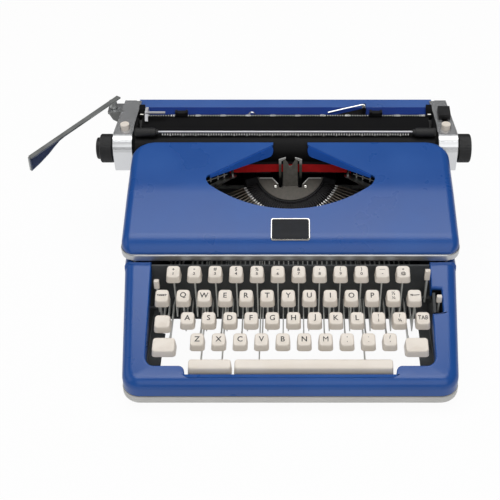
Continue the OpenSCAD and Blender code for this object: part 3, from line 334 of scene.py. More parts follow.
def dress(skin, *names, edge=0.0):
    """Solids of the frame kept as they are, with a skin and, where given, edges broken by `edge` mm."""
    for thing in [node[name] for name in names]:
        thing.data.materials.clear()
        thing.data.materials.append(skin)
        if edge:
            broken = thing.modifiers.new("broken_edges", "BEVEL")
            broken.width = edge / 1000
            broken.segments = 2
            broken.limit_method = "ANGLE"
            broken.angle_limit = math.radians(35)
        soften(thing)


dress(grey_primer, "chassis_frame", "key_comb")
dress(ground_steel, "lever_shaft", "carriage_rails", "escapement_wheel")
dress(tinned_steel, "spool_cups", "mainspring_drum")
slot_walls = [(129.5, -99.1), (137.8, -99.1), (137.8, -78.4), (129.5, -78.4)]
liner_top, liner_foot = 1.6, 18
slot_rows = []
for (x0, y0), (x1, y1) in zip(slot_walls, drawn_in(slot_walls, 0.4, closed=False)):
    high, low = shell_top(y0) - liner_top, shell_top(y0) - liner_foot
    slot_rows.append([(x0, y0, high), (x1, y1, high), (x1, y1, low), (x0, y0, low)])
piece("selector_liner", loft(slot_rows, caps=True), black_enamel, "chassis", "black_plastic")
guard_side, guard_front, guard_back, guard_z = 129.6, -142.5, -63, (21.2, 21.9)
left_edge = [(119.9, guard_back), (119.9, -93), (116.2, -94), (116.2, -114), (117.0, -116)]
right_edge = [(119.6, guard_back), (119.6, -112), (117.0, -114)]
guards = []
for side, inner in ((-1, left_edge), (1, right_edge)):
    outline = [(guard_side, guard_front), (guard_side, guard_back)] + inner + [(117.0, guard_front)]
    guards.append(slab(outline, guard_z, lambda x, y, z: (side * x, y, z)))
piece("side_guards", joined(*guards), grey_primer, "chassis", "black_steel")

# Ribbon cover: a second blue pressing, hinged at its front edge, curved at the front and rounded over
# at the sides, with the fan-shaped window over the type basket and turned-down flanges beside it.

cover_half, cover_front, cover_back, cover_base = 156.5, -53.0, 71.5, 83.8
cover_high, bend_front, bend_back = 120.4, 8, 20
front_slope, plan_r, nose_r = 14.5, 14, 26.0
cover_pitch, front_pitch = math.radians(10.3), math.radians(front_slope)
nose_y = cover_front + nose_r - 3.2


def cover_line(y):
    """Height of the cover's top, which bends to a steeper slope in its front half."""
    flat = cover_high - (cover_back - y) * math.tan(cover_pitch)
    steeper = math.tan(front_pitch) - math.tan(cover_pitch)
    if y >= bend_back:
        return flat
    if y <= bend_front:
        return flat - steeper * ((bend_front + bend_back) / 2 - y)
    return flat - steeper * ((bend_back - y) ** 2 / (2 * (bend_back - bend_front)))


flat_start = nose_y - nose_r * math.sin(front_pitch)
nose_z = cover_line(flat_start) - nose_r * math.cos(front_pitch)


def corner_in(d):
    """How far the round plan corner draws the side in, at a distance d from the end."""
    if d >= plan_r:
        return 0.0
    return plan_r - math.sqrt(max(0.0, plan_r ** 2 - (plan_r - max(d, 0.0)) ** 2))


def cover_body(d, floor, tail):
    """The solid under the cover's skin drawn in by d, standing on `floor` and carried on by `tail`."""
    rows = []
    first = 180 - math.degrees(math.asin((cover_base + 1.5 - nose_z) / nose_r))
    for i in range(21):
        a = math.radians(first + (90 + front_slope - first) * i / 20)
        y = nose_y + nose_r * math.cos(a)
        rows.append((nose_y + (nose_r - d) * math.cos(a), nose_z + (nose_r - d) * math.sin(a),
                     cover_half - corner_in(y - cover_front) - corner_in(cover_back - y) - d))
    for y in (-24, -8, 8, 10, 12, 14, 16, 18, 20, 40, 56, 58, 60, 62, 64, 66, 67.5, 69, 70, 70.8,
              cover_back):
        rows.append((y, cover_line(y) - d / math.cos(cover_pitch),
                     cover_half - corner_in(cover_back - y) - d))
    if tail:
        rows.append((rows[-1][0] + tail, rows[-1][1], rows[-1][2]))
    rings = []
    for y, z, half in rows:
        h = z - cover_base
        r = min(9.0, h * 0.8)
        side = bow(half - 0.4 * h / 36 - r, z - r, r, 0, 90, 12)
        ring = [(half, floor)] + side + [(-x, up) for x, up in reversed(side)] + [(-half, floor)]
        rings.append([(x, y, up) for x, up in ring])
    return loft(rings, caps=True)


def cut(thing, shape):
    """Take a shape, in millimetres, out of a piece."""
    tool = solid("cutter", shape)
    face_out(tool.data, weld=False)
    step = thing.modifiers.new("cut", "BOOLEAN")
    step.operation = "DIFFERENCE"
    step.solver = "EXACT"
    step.object = tool
    thing.modifiers.remove(thing.modifiers["even_normals"])
    bpy.context.view_layer.update()
    done = bpy.data.meshes.new_from_object(
        thing.evaluated_get(bpy.context.evaluated_depsgraph_get()))
    thing.modifiers.clear()
    thing.data = done
    bpy.data.objects.remove(tool)
    soften(thing)


window_r, window_front, window_half = 122, -10.5, 78
tip_x, tip_y, tip_r, gap_half, gap_front, gap_back = 76, 25, 5, 17, 68.5, 75
spread = math.degrees(math.asin(window_half / window_r))
window = bow(0, window_front + window_r, window_r, -90 - spread, -90 + spread, 40)
window += bow(tip_x, tip_y, tip_r, -30, 50, 6)
window += [(gap_half, gap_front), (gap_half, gap_back), (-gap_half, gap_back), (-gap_half, gap_front)]
window += bow(-tip_x, tip_y, tip_r, 130, 210, 6)
rear_notch = [(-170, 65), (170, 65), (170, 80), (-170, 80)]
sheet = 1.8
cover = piece("cover_pressing", cover_body(0, cover_base, 0), blue_enamel, "cover", "blue_paint",
              "top_cover")
cut(cover, cover_body(sheet, cover_base - 2, 3))
for outline, levels in ((window, (60, 160)), (rear_notch, (70, 115))):
    cut(cover, slab(outline, levels, lambda x, y, z: (x, y, z)))

# The flanges hang from the window's slanting rear edges, deep and round at the gap, shallow at the tips.
flange_deep, flange_tip, flange_round, flange_top = 11.2, 3.6, 4.6, 0.7
flange_faces, flange_lean = (-0.15, 1.25), 0.17
flange_start, flange_end = Vector((17.1, 68.1)), Vector((77.2, 29.6))
run, length = (flange_end - flange_start).normalized(), (flange_end - flange_start).length
flange_edge = [(2.4, flange_top), (0.9, 1.6), (0.2, 3.2), (0.0, 5.6), (0.3, 8.0), (1.1, 9.8),
               (2.6, 11.0)]
flange_edge += [(flange_round + (length - flange_round) * i / 6,
                 flange_deep - (flange_deep - flange_tip) * i / 6) for i in range(7)]
flange_edge.append((length, flange_top))


def on_flange(side, s, drop, off):
    """A point of a flange: s mm along the window's edge, `drop` below the cover, `off` from its face."""
    edge = flange_start + run * s
    at = edge + Vector((-run.y, run.x)) * off
    return (side * at.x, at.y - flange_lean * drop, cover_line(edge.y) - drop)


flanges = [slab(flange_edge, flange_faces, lambda s, drop, off: on_flange(side, s, drop, off))
           for side in (-1, 1)]
# Blue enamel painted lighter and cleaner on the window flanges: painted light where they face the front.
lit_flange_enamel = finish("flange_blue_painted_light", "#2A5FBE", "#2F66C6", 40, (0.24, 0.3), 2.0, 0.006, IOR=1.5)
piece("window_flanges", joined(*flanges), lit_flange_enamel, "cover", "blue_paint")

# Bright strip: a rolled band of satin chromed steel, clipped round the lower edge of the cover. Its face
# is slightly rounded, and it follows the cover's round front corners.

# Satin chrome, brushed along the band: pale, with a soft reflection drawn out lengthways.
satin_chrome = finish("satin_chrome", "#AEAEAF", "#C0C1C2", 25, (0.26, 0.36), 0.4, 0.004,
                      (0.08, 0.08, 1.0), Metallic=1.0)
strip_corner, strip_y, strip_end = cover_half - plan_r, cover_front + plan_r, 65
strip_path = [(-cover_half, strip_end), (-cover_half, 20)]
for x, turn in ((-strip_corner, 180), (strip_corner, 270)):
    strip_path += bow(x, strip_y, plan_r, turn, turn + 90, 10)
strip_path += [(cover_half, 20), (cover_half, strip_end)]
strip_section = [(-1.4, 76.4), (0.2, 76.35), (0.75, 76.7), (0.95, 77.5), (0.95, 82.6), (0.75, 83.4),
                 (0.2, 83.7), (-1.4, 83.7)]
strip_rings = [[] for p in strip_path]
for off, z in strip_section:
    for ring, (x, y) in zip(strip_rings, drawn_in(strip_path, -off, closed=False)):
        ring.append((x, y, z))
piece("bright_strip", loft(strip_rings, caps=True), satin_chrome, "cover", "chrome", "cover_trim",
      sharp=50)

# Bare plate on the cover's nose: a thin pressing of black anodised aluminium with a bright raised rim,
# bent to the curve of the nose and held from inside. It is left blank.

# Black anodised aluminium: smooth and dark with a gentle sheen.
black_plate = finish("black_anodised_aluminium", "#16181C", "#1E2026", 10, (0.45, 0.55), 0.4, 0.003,
                     IOR=1.6, Specular_IOR_Level=0.15)
# Polished nickel: bright and warm, nearly a mirror.
nickel = finish("polished_nickel", "#BDBBB4", "#CFCDC6", 12, (0.12, 0.22), 0.5, 0.003, Metallic=1.0)


def on_nose(x, s, lift):
    """A point over the cover's front: s mm along the skin from where the flat starts, lifted off it."""
    if s >= 0:
        y, z = flat_start + s * math.cos(front_pitch), cover_line(flat_start) + s * math.sin(front_pitch)
        return (x, y - lift * math.sin(front_pitch), z + lift * math.cos(front_pitch))
    a = math.radians(90 + front_slope) - s / nose_r
    return (x, nose_y + (nose_r + lift) * math.cos(a), nose_z + (nose_r + lift) * math.sin(a))


plate_low, plate_high, plate_half, plate_r, plate_steps = -8.3, 15.4, 18.2, 2.0, 24


def plate_ring(inset, lift):
    """An edge row of the plate, right side going up and left side coming down."""
    low, high, half = plate_low + inset, plate_high - inset, plate_half - inset
    rows = []
    for i in range(plate_steps + 1):
        s = low + (high - low) * (0.5 - 0.5 * math.cos(math.pi * i / plate_steps))
        d = min(plate_r, s - low, high - s)
        rows.append((half - plate_r + math.sqrt(max(0.0, plate_r ** 2 - (plate_r - d) ** 2)), s))
    return [on_nose(x, s, lift) for x, s in rows] + [on_nose(-x, s, lift) for x, s in reversed(rows)]


rim_rows = ((0, 0.1), (0, 0.9), (0.3, 1.3), (1.0, 1.3), (1.2, 0.9))
piece("plate_rim", loft([plate_ring(inset, lift) for inset, lift in rim_rows]), nickel, "cover",
      "chrome", "nameplate")
last = 2 * plate_steps + 1
field = plate_ring(1.1, 1.0), [[i, i + 1, last - 1 - i, last - i] for i in range(plate_steps)]
piece("plate_field", field, black_plate, "cover", "black_plastic")

# Key caps: cream moulded caps with a shallow dish, pushed on the tops of the flat steel key levers.
# The marks are moulded through in dark grey.

# Cream ABS, moulded: warm white with a satin gloss and slight yellowing in patches.
cream_abs = finish("cream_moulded_abs", "#E9DFD2", "#EEE5DA", 30, (0.28, 0.36), 0.8, 0.004, IOR=1.53)
# Dark grey mark moulded into the cap: matt.
dark_mark = finish("dark_grey_mark", "#211F20", "#2A2828", 2, (0.5, 0.6), 0.3, 0.002, IOR=1.5)
# Rolled steel strip, brushed along the lever.
lever_steel = finish("brushed_lever_steel", "#D6D7D2", "#E2E3DE", 12, (0.35, 0.5), 0.5, 0.006,
                     (1, 0.1, 0.1), Metallic=0.3)


def rounded(w, d, r):
    """Points of a rectangle with round corners about the middle."""
    x, y = w / 2 - r, d / 2 - r
    corners = ((x, y, 0), (-x, y, 90), (-x, -y, 180), (x, -y, 270))
    return [p for cx, cy, turn in corners for p in bow(cx, cy, r, turn, turn + 90, 4)]


cap_w, cap_d, cap_dish, cap_tip = 13.5, 14.0, 0.55, 1.3


def cap_slope(d):
    """How steeply the top of a cap of depth d is tipped to the front."""
    return cap_tip / (d / 2 - 0.8)


def dish(u, depth):
    """Depth of the hollow at u, which is 0 in the middle of the top and 1 at its rim."""
    return depth * (1 - u * u)


def key_cap(x, y, top, w=cap_w, d=cap_d, h=8.8, r=3.0, hollow=cap_dish):
    """A cap with tapered sides, a rounded upper edge and a dished top that is tipped to the front."""
    low, edge, slope, side_taper, front_taper = top - h, 1.2, cap_slope(d), 0.7, 0.6
    rings = [[(x + px, y + py, z) for px, py in rounded(w + 2 * grow, d + 2 * grow, r)]
             for grow, z in ((-0.4, low), (0.0, low + 0.5))]
    for step in range(6):
        a = math.radians(18 * step)
        turned_in = edge * (1 - math.cos(a))
        z = top - edge * (1 - math.sin(a))
        ring = rounded(w - 2 * (side_taper + turned_in), d - 2 * (front_taper + turned_in),
                       max(0.8, r - turned_in))
        rings.append([(x + px, y + py, z + py * slope) for px, py in ring])
    rim = rings[-1]
    for u in (0.85, 0.6, 0.3, 0.02):
        rings.append([(x + (px - x) * u, y + (py - y) * u, top + (py - y) * u * slope - dish(u, hollow))
                      for px, py, pz in rim])
    return loft(rings, caps=True)


def glyph(text, height, width):
    """Outline faces of a plain sign, centred, in millimetres."""
    type_size, capital = 10.0, 7.2
    curve = bpy.data.curves.new("sign", "FONT")
    curve.body = text
    curve.size = type_size
    curve.offset = 0.0 if text == "M" else 0.14
    curve.resolution_u = 3
    holder = bpy.data.objects.new("sign", curve)
    bpy.context.scene.collection.objects.link(holder)
    bpy.context.view_layer.update()
    mesh = bpy.data.meshes.new_from_object(holder.evaluated_get(bpy.context.evaluated_depsgraph_get()))
    points = [v.co.copy() for v in mesh.vertices]
    faces = [list(f.vertices) for f in mesh.polygons]
    bpy.data.objects.remove(holder)
    low = [min(p[i] for p in points) for i in (0, 1)]
    high = [max(p[i] for p in points) for i in (0, 1)]
    scale = height / capital
    wide = scale if (high[0] - low[0]) * scale <= width else width / (high[0] - low[0])
    return [((p.x - (low[0] + high[0]) / 2) * wide, (p.y - (low[1] + high[1]) / 2) * scale)
            for p in points], faces


def on_cap(mark, x, y, top, up):
    """A mark laid on a cap's dish, shifted up from its middle."""
    points, faces = mark
    placed = []
    for px, py in [(px, py + up) for px, py in points]:
        u = max(abs(px) / (cap_w / 2 - 2.2), abs(py) / (cap_d / 2 - 2.6))
        placed.append((x + px, y + py, top + py * cap_slope(cap_d) - dish(min(u, 1.0), cap_dish) + 0.06))
    return placed, faces


key_pitch, first_x = 19.05, -106.7
upper_y, upper_top, home_y, home_top = -88.5, 66.6, -107.5, 57.1
for row, y, top, shift, row_signs in (
        ("number_row", -69.5, 78.6, 0, ["+ 1", '" 2', "# 3", "$ 4", "% 5", "_ 6", "& 7", "' 8", "( 9",
                                        ") 0", "— -", "* @"]),
        ("upper_row", upper_y, upper_top, 0.5, list("QWERTYUIOP") + ["½ ¼"]),
        ("home_row", home_y, home_top, 0.75, list("ASDFGHJKL") + ["! 1", "? ¾"]),
        ("lower_row", -126.5, 49.6, 1.25, list("ZXCVBNM") + [", ,", ". .", "/ '"])):
    caps, signs = [], []
    for i, sign in enumerate(row_signs):
        x = first_x + key_pitch * shift + key_pitch * i
        pair = sign.split()
        height, places = (5.2, (0.4,)) if len(pair) == 1 else (3.3, (2.4, -2.2))
        marks = [on_cap(glyph(text, height, 8.4), x, y, top, up) for text, up in zip(pair, places)]
        if sign == "H":
            centre_mark = marks
            continue
        caps.append(key_cap(x, y, top))
        signs += marks
    piece(row + "_caps", joined(*caps), cream_abs, row, "cream_plastic", row + "_keys")
    piece(row + "_marks", joined(*signs), dark_mark, row, "black_plastic")
    dress(lever_steel, row + "_levers")

# Single keys: the centre key that works its own typebar, the two shift keys, the lock, margin release,
# backspace and tabulator keys, each a cream cap on a lever of its own.

lever_back, lever_low, lever_high = 116.6, 22, 28


def key_lever(x, y, top):
    """A flat steel lever from the shaft to a strip under its key, slanted for the front rows."""
    if -140 < y < -100:
        side = [(y - 2.5, top - 4), (y + 25.5, lever_low), (lever_back, lever_low),
                (lever_back, lever_high), (y + 30.5, lever_high)]
    else:
        side = [(y - 2.5, lever_low), (lever_back, lever_low), (lever_back, lever_high),
                (y + 10.5, lever_high), (y + 2.5, 38)]
    side += [(y + 2.5, top), (y - 2.5, top)]
    return slab(side, (-0.5, 0.5), lambda a, b, across: (x + across, a, b))


def flat_mark(outline):
    """A mark drawn as one plain polygon, in millimetres."""
    return outline, [list(range(len(outline)))]


arrow = flat_mark([(-4.4, 0), (-1.8, 1.1), (-1.8, 0.35), (4.4, 0.35), (4.4, -0.35), (-1.8, -0.35),
                   (-1.8, -1.1)])
release_sign = [flat_mark([(s * 4.6, 0), (s * 3.0, 1.1), (s * 3.0, -1.1)]) for s in (-1, 1)]
release_sign += [flat_mark([(x - 0.7, -0.9), (x + 0.7, -0.9), (x + 0.7, 0.9), (x - 0.7, 0.9)])
                 for x in (-1.7, 0.0, 1.7)]
single_keys = {
    "centre_key": [(2.84, 2.84, home_y, cap_w, cap_d, home_top, [])],
    "shift_keys": [(x, lever_x, -131.5, 21.5, 15.5, 48.2, [])
                   for x, lever_x in ((-112.3, -110.5), (112.2, 108.0))],
    "shift_lock": [(-114.5, -114.5, -111.5, 15.5, cap_d, home_top, [])],
    "margin_release_key": [(-116.3, -118.6, upper_y, cap_w, cap_d, upper_top, release_sign)],
    "backspace_key": [(112.4, 113.0, upper_y, cap_w, cap_d, upper_top, [arrow])],
    "tab_key": [(119.0, 118.0, home_y, cap_w, cap_d, home_top, [glyph("TAB", 4.2, 9.0)])],
}
for name, keys in single_keys.items():
    caps, arms, signs = [], [], []
    for x, lever_x, y, w, d, top, marks in keys:
        caps.append(key_cap(x, y, top, w, d))
        arms.append(key_lever(lever_x, y, top - 8))
        signs += [on_cap(mark, x, y, top, 0.6) for mark in marks]
    if name == "centre_key":
        signs = centre_mark
    if name == "shift_keys":
        cross_bar = [(116.2, lever_low), (119, lever_low), (119, lever_high), (116.2, lever_high)]
        arms.append(slab(cross_bar, (-111, 108.5), lambda y, z, x: (x, y, z)))
    piece(name + "_cap", joined(*caps), cream_abs, name, "cream_plastic", name)
    piece(name + "_lever", joined(*arms), lever_steel, name, "steel")
    if signs:
        piece(name + "_mark", joined(*signs), dark_mark, name, "black_plastic")

# Space bars: the long bar and the short repeat bar beside it, cream mouldings with a slightly arched
# top, each pushed on two steel arms that run back to the lever shaft.

for name, x0, x1, arm_xs in (("space_bar", -49.9, 91.1, (-28.1, 67.1)),
                             ("repeat_space_bar", -90.7, -51.7, (-80.5, -61.5))):
    piece(name + "_cap", key_cap((x0 + x1) / 2, -147, 40, x1 - x0, 10, 10.8, 2.4, -0.3), cream_abs, name,
          "cream_plastic", name)
    piece(name + "_arms", joined(*[key_lever(x, -145, 31) for x in arm_xs]), lever_steel, name, "steel")

# Finger levers beside the keys: touch control, tabulator setting and colour selector, each a cream tab
# on a thin steel arm that turns on a pin of the frame.

for name, x, y, low, top, w, h in (("touch_lever", -121.6, -78, 36, 75.3, 4.8, 9),
                                   ("tab_set_lever", 125.0, -70, 41, 80.5, 5.0, 11),
                                   ("colour_selector", 135.1, -88, 21, 65.5, 4.8, 7)):
    rows = [(0.0, top - h), (0.0, top - 0.8), (0.25, top - 0.25), (0.8, top)]
    tab = [[(x + px, y + py, z) for px, py in rounded(w - 2 * g, 4 - 2 * g, 1.0 - g)] for g, z in rows]
    piece(name + "_tab", loft(tab, caps=True), cream_abs, name, "cream_plastic", name)
    foot = [(-2, low), (2, low), (2, top - h + 0.2), (-2, top - h + 0.2)]
    piece(name + "_arm", slab(foot, (-0.7, 0.7), lambda a, b, across: (x + across, y + a, b)),
          lever_steel, name, "steel")

# Type basket: the blackened slotted segment with its ring of typebars, the phosphated type guide on two
# screws with its forked upright, the clawed ribbon carrier in front of the platen, and the two tinned
# ribbon spools.


def graded(skin, measure, low, high, stops):
    """Colour a skin by a measure between two values in metres, in stops of (place, colour)."""
    tree = skin.node_tree
    span = add(tree, "ShaderNodeMapRange", {"Value": measure, "From Min": low, "From Max": high})
    ramp = add(tree, "ShaderNodeValToRGB", {"Fac": span.outputs["Result"]})
    marks = ramp.color_ramp.elements
    for mark, (spot, code) in zip((marks[0], marks[1]), (stops[0], stops[-1])):
        mark.position = spot
        mark.color = colour(code)
    for spot, code in stops[1:-1]:
        marks.new(spot).color = colour(code)
    tree.links.new(ramp.outputs["Color"], tree.nodes["Principled BSDF"].inputs["Base Color"])


# Blackened steel: oiled, dark, with a dull metal glint.
blackened_steel = finish("blackened_steel", "#121213", "#1D1D1F", 6, (0.35, 0.5), 0.6, 0.006,
                         Metallic=0.6)
# Typebar steel: near black in the slots as painted shade, near white at the shoulder as a painted
# highlight, then a dull brownish grey.
typebar_steel = finish("typebar_steel", "#4A4B4D", "#77787A", 9, (0.3, 0.45), 0.6, 0.006, Metallic=0.5)
bars = typebar_steel.node_tree
reach = add(bars, "ShaderNodeVectorMath", {0: add(bars, "ShaderNodeTexCoord", {}).outputs["Object"],
            1: (0.0, 0.0813, 0.0812)}, operation="DISTANCE")
graded(typebar_steel, reach.outputs["Value"], 0.045, 0.055,
       ((0.46, "#141415"), (0.5, "#EFEFEC"), (0.72, "#EFEFEC"), (0.8, "#6A6156")))
# Phosphated steel: warm dark grey, blasted matt, with only broad soft reflections.
phosphated_steel = finish("phosphated_steel", "#57544E", "#645F58", 3, (0.5, 0.62), 0.4, 0.01,
                          Metallic=0.35)
# The same steel painted lighter on the front-facing upright, as painted light, and a bright steel, here
# laid along the plate's edges as painted highlights.
front_lit_steel = finish("grey_steel_painted_light", "#7C7972", "#8C8881", 4, (0.45, 0.55), 0.4, 0.008, Metallic=0.35)
bright_steel = finish("bright_grey_steel", "#CACAC6", "#DCDCD8", 4, (0.4, 0.5), 0.4, 0.004,
                      Metallic=0.4)
# Matt nickel plate: near black at the foot as painted shade, grey above, with the claws bright-plated.
matt_nickel = finish("matt_nickel_plate", "#8C8C8A", "#A0A09D", 8, (0.3, 0.42), 0.5, 0.004, Metallic=0.5)
plating = matt_nickel.node_tree
height = add(plating, "ShaderNodeSeparateXYZ",
             {"Vector": add(plating, "ShaderNodeTexCoord", {}).outputs["Object"]})
graded(matt_nickel, height.outputs["Z"], 0.07, 0.11,
       ((0.3, "#0F0F10"), (0.42, "#6E6E66"), (0.72, "#7E7E76"), (0.8, "#EAEAE6")))
dress(blackened_steel, "segment")
dress(typebar_steel, "typebars", "centre_typebar")
dress(matt_nickel, "ribbon_vibrator", edge=0.15)
dress(tinned_steel, "left_spool", "right_spool", edge=0.2)

segment_y, segment_z, lean_cos, lean_sin = 81.29, 81.15, 0.848, 0.5299


def on_segment(x, s, lift):
    """A point over the segment's plane: s mm from its centre to the front, lifted square off it."""
    return (x, segment_y - s * lean_cos - lift * lean_sin, segment_z - s * lean_sin + lift * lean_cos)


guide_r, guide_chord, guide_lift = 35, 10.7, (1.0, 2.2)
half_plate = [(0.0, guide_chord), (7.8, guide_chord), (7.8, 21.6), (12.0, 21.6), (12.2, 17.2),
              (18.2, guide_chord)]
half_plate += bow(0, 0, guide_r, math.degrees(math.asin(guide_chord / guide_r)), 90, 16)
half_fork = [(0.0, 71.8), (7.25, 71.8), (7.25, 103.4), (5.8, 105.0), (4.9, 105.0), (2.2, 100.0),
             (1.5, 97.6), (0.0, 97.2)]
plate, fork = [half + [(-u, v) for u, v in reversed(half[1:-1])] for half in (half_plate, half_fork)]
piece("guide_plate", slab(plate, guide_lift, on_segment), phosphated_steel, "basket", "steel",
      "type_guide")
piece("guide_upright", slab(fork, (63.0, 64.2), lambda x, z, y: (x, y, z)), front_lit_steel, "basket",
      "steel")
# Bright strips along the plate's front edges: painted highlights.
edge_highlight_line = [(31.0, 11.1), (18.3, 11.1), (12.5, 17.4)]
edge_highlight_section = [(0.0, 0.0, 2.2), (0.0, 0.0, 2.45), (0.4, 0.9, 2.45), (0.4, 0.9, 2.2)]
screw_x, screw_s, screw_rows = 15.2, 20.5, ((1.9, 2.1), (1.9, 2.7), (1.5, 3.0), (0.5, 3.1))
edges, screws = [], []
for side in (-1, 1):
    edges.append(loft([[on_segment(side * (x + across), s + down, lift)
                        for across, down, lift in edge_highlight_section] for x, s in edge_highlight_line], caps=True))
    screws.append(loft([[on_segment(*p, lift) for p in circle(side * screw_x, screw_s, r, 16)]
                        for r, lift in screw_rows], caps=True))
piece("guide_edges", joined(*edges), bright_steel, "basket", "steel")
piece("guide_screws", joined(*screws), nickel, "basket", "chrome")

# Ribbon: a band of inked cotton, black above and red below, from one spool past its pins to the carrier,
# which lifts its middle before the type.

# Inked cotton cloth: matt, close weave of about 0.3 mm; drawn at 0.6 mm so that it shows.
ribbon_black = finish("black_inked_cotton", "#141214", "#1D1A1C", 4, (0.8, 0.95), 0.6, 0.06, IOR=1.4)
ribbon_red = finish("red_inked_cotton", "#C01418", "#CE1C20", 4, (0.8, 0.95), 0.6, 0.06, IOR=1.4)
ribbon_half = [(112, 35.4), (86, 50.3), (59, 65.7), (50, 66.0), (36, 66.4), (24, 66.75), (13, 67),
               (6, 67), (0, 67)]
ribbon_low, ribbon_split, ribbon_high, ribbon_front, ribbon_back = 87.5, 97.0, 100.0, 0.05, 0.2
for side, word in ((-1, "left"), (1, "right")):
    path = [(side * x, y) for x, y in ribbon_half]
    for band, low, high, skin in (("red", ribbon_low, ribbon_split, ribbon_red),
                                  ("black", ribbon_split, ribbon_high, ribbon_black)):
        section = ((ribbon_front, low), (ribbon_back, low), (ribbon_back, high), (ribbon_front, high))
        rows = [[(x, y + off, z) for off, z in section] for x, y in path]
        strip = solid("ribbon_%s_%s" % (word, band), loft(rows, caps=True))
        strip.data.materials.append(skin)
        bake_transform(strip)
        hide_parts("ribbon")

# Shields: two thin black lacquered plates standing on the arms of the spool cups, before the ribbon's
# outer runs, each with a bright pressed steel clip on its front.

shield_run, shield_slope = ((60.6, 62.9), (87.0, 47.9)), 0.5682
shield_section = ((85.5, 0), (98.6, 0), (98.6, 0.6), (85.5, 0.6))
clip_bars = ((63, 83, 88.6, 89.5), (65.5, 66.7, 86, 92), (71.5, 72.7, 86, 91), (78.5, 79.7, 86, 92))
shields, clips = [], []
for side in (-1, 1):
    shields.append(loft([[(side * x, y + back, z) for z, back in shield_section] for x, y in shield_run],
                        caps=True))
    for x0, x1, low, high in clip_bars:
        ends = [(x, shield_run[0][1] - (x - shield_run[0][0]) * shield_slope) for x in (x0, x1)]
        bar = ((low, 0.0), (high, 0.0), (high, 0.5), (low, 0.5))
        clips.append(loft([[(side * x, y - front, z) for z, front in bar] for x, y in ends], caps=True))
piece("ribbon_shields", joined(*shields), black_enamel, "chassis", "black_steel")
piece("shield_clips", joined(*clips), bright_steel, "chassis", "steel")

# Carriage bed and paper path: the black bed with its walls, the hard rubber platen on its shaft, the
# feed rollers, the curved black pan and the folded blue paper table with its black fittings.

# Hard rubber, ground round: black, dull, with fine turning marks.
platen_rubber = finish("ground_hard_rubber", "#09090A", "#0E0E0F", 10, (0.5, 0.62), 0.5, 0.01,
                       (0.2, 1, 1), IOR=1.52, Specular_IOR_Level=0.15)
carriage_x, platen_y, platen_z = -5.0, 84, 104.3
dress(black_enamel, "carriage_frame", "paper_pan")
dress(black_rubber, "feed_roller")
dress(ground_steel, "platen_shaft")


def turned(profile, y, z, n):
    """A turned piece across the carriage: profile of (x, radius) rows about the line at (y, z)."""
    return loft([[(carriage_x + x, *p) for p in circle(y, z, r, n)] for x, r in profile], caps=True)


def along(x0, x1, outline):
    """A bar between two places across the carriage, with an outline of (y, z) points."""
    return slab(outline, (x0, x1), lambda y, z, x: (carriage_x + x, y, z))


# Matt blue enamel, painted darker and full in colour as painted shade on the paper table's lower band,
# and without gloss.
shaded_matt_blue = finish("matt_blue_painted_shade", "#0F2C72", "#13327A", 60, (0.6, 0.7), 1.5, 0.01, IOR=1.45,
                   Specular_IOR_Level=0.15)
table_half = 150
apron = [(119, 116.5), (119, 118.4), (128, 123.9), (128.4, 122.2), (121.2, 117.8), (121.2, 116.5)]
leaf = [(128, 123.92), (128.3, 124.05), (137.6, 126.9), (138, 126.6), (138, 125.3), (128.4, 122.2)]
piece("table_apron", along(-table_half, table_half, apron), shaded_matt_blue, "carriage", "blue_paint",
      "paper_table")
piece("table_leaf", along(-table_half, table_half, leaf), blue_enamel, "carriage", "blue_paint")
hinge_x, hinge_z = 80, 126.2
fittings = [along(hinge_x - 2, hinge_x + 2, [(y, foot), (y + 1.2, foot), (y + 1.2, 128), (y, 128)])
            for y, foot in ((119.2, 117.5), (127.4, 123))]
fittings.append(slab(circle(carriage_x + hinge_x, hinge_z, 1.2, 16), (120, 128),
                     lambda x, z, y: (x, y, z)))
corner = [(118.9, 118.4), (118.9, 123.2), (121.5, 126.4), (127.4, 127.6), (127.4, 123.9)]
fittings += [along(s * 143.6, s * 149.4, corner) for s in (-1, 1)]
# A black triangle on the paper table under the wire support: painted shadow of the wire.
wire_shadow_patch = [(43.5, 119.3), (79.0, 126.6), (79.0, 119.3)]
fittings.append(slab(wire_shadow_patch, (0.0, 0.12), lambda x, y, lift: (
    carriage_x + x, y, 118.45 + (y - 119) * 0.6111 + lift)))
piece("table_fittings", joined(*fittings), black_enamel, "carriage", "black_steel")
pin_rows = ((-1.9, 0.6), (-1.6, 1.1), (1.6, 1.1), (1.9, 0.6))
pins = [turned([(s * 146.6 + x, r) for x, r in pin_rows], 118.6, 121.2, 16) for s in (-1, 1)]
piece("fitting_pins", joined(*pins), nickel, "carriage", "chrome")
platen_rows = ((-149.5, 4.2), (-149.5, 15.2), (-148.8, 15.95), (148.8, 15.95), (149.5, 15.2),
               (149.5, 4.2))
piece("platen_roller", turned(platen_rows, platen_y, platen_z, 64), platen_rubber, "platen", "rubber",
      "platen")

# Platen knobs: black phenolic mouldings with a ribbed grip, the left one stepped and the right one
# dished, each held on the end of the platen's shaft.

# Black phenolic moulding, worn dull by handling: near black with a soft highlight on the rims.
black_phenolic = finish("black_phenolic", "#101011", "#171718", 12, (0.4, 0.5), 0.6, 0.004, IOR=1.55,
                        Specular_IOR_Level=0.35)
knob_ribs = 60


def knob(profile):
    """A turned knob whose grip rows are ribbed: profile of (x, radius, depth of the ribs)."""
    wave = (0.0, 0.5, 1.0, 0.5)
    n = knob_ribs * len(wave)
    turns = [2 * math.pi * i / n for i in range(n)]
    rings = []
    for x, r, depth in profile:
        reaches = [r - depth * wave[i % len(wave)] for i in range(n)]
        rings.append([(carriage_x + x, platen_y + reach * math.cos(a), platen_z + reach * math.sin(a))
                      for reach, a in zip(reaches, turns)])
    return loft(rings, caps=True)


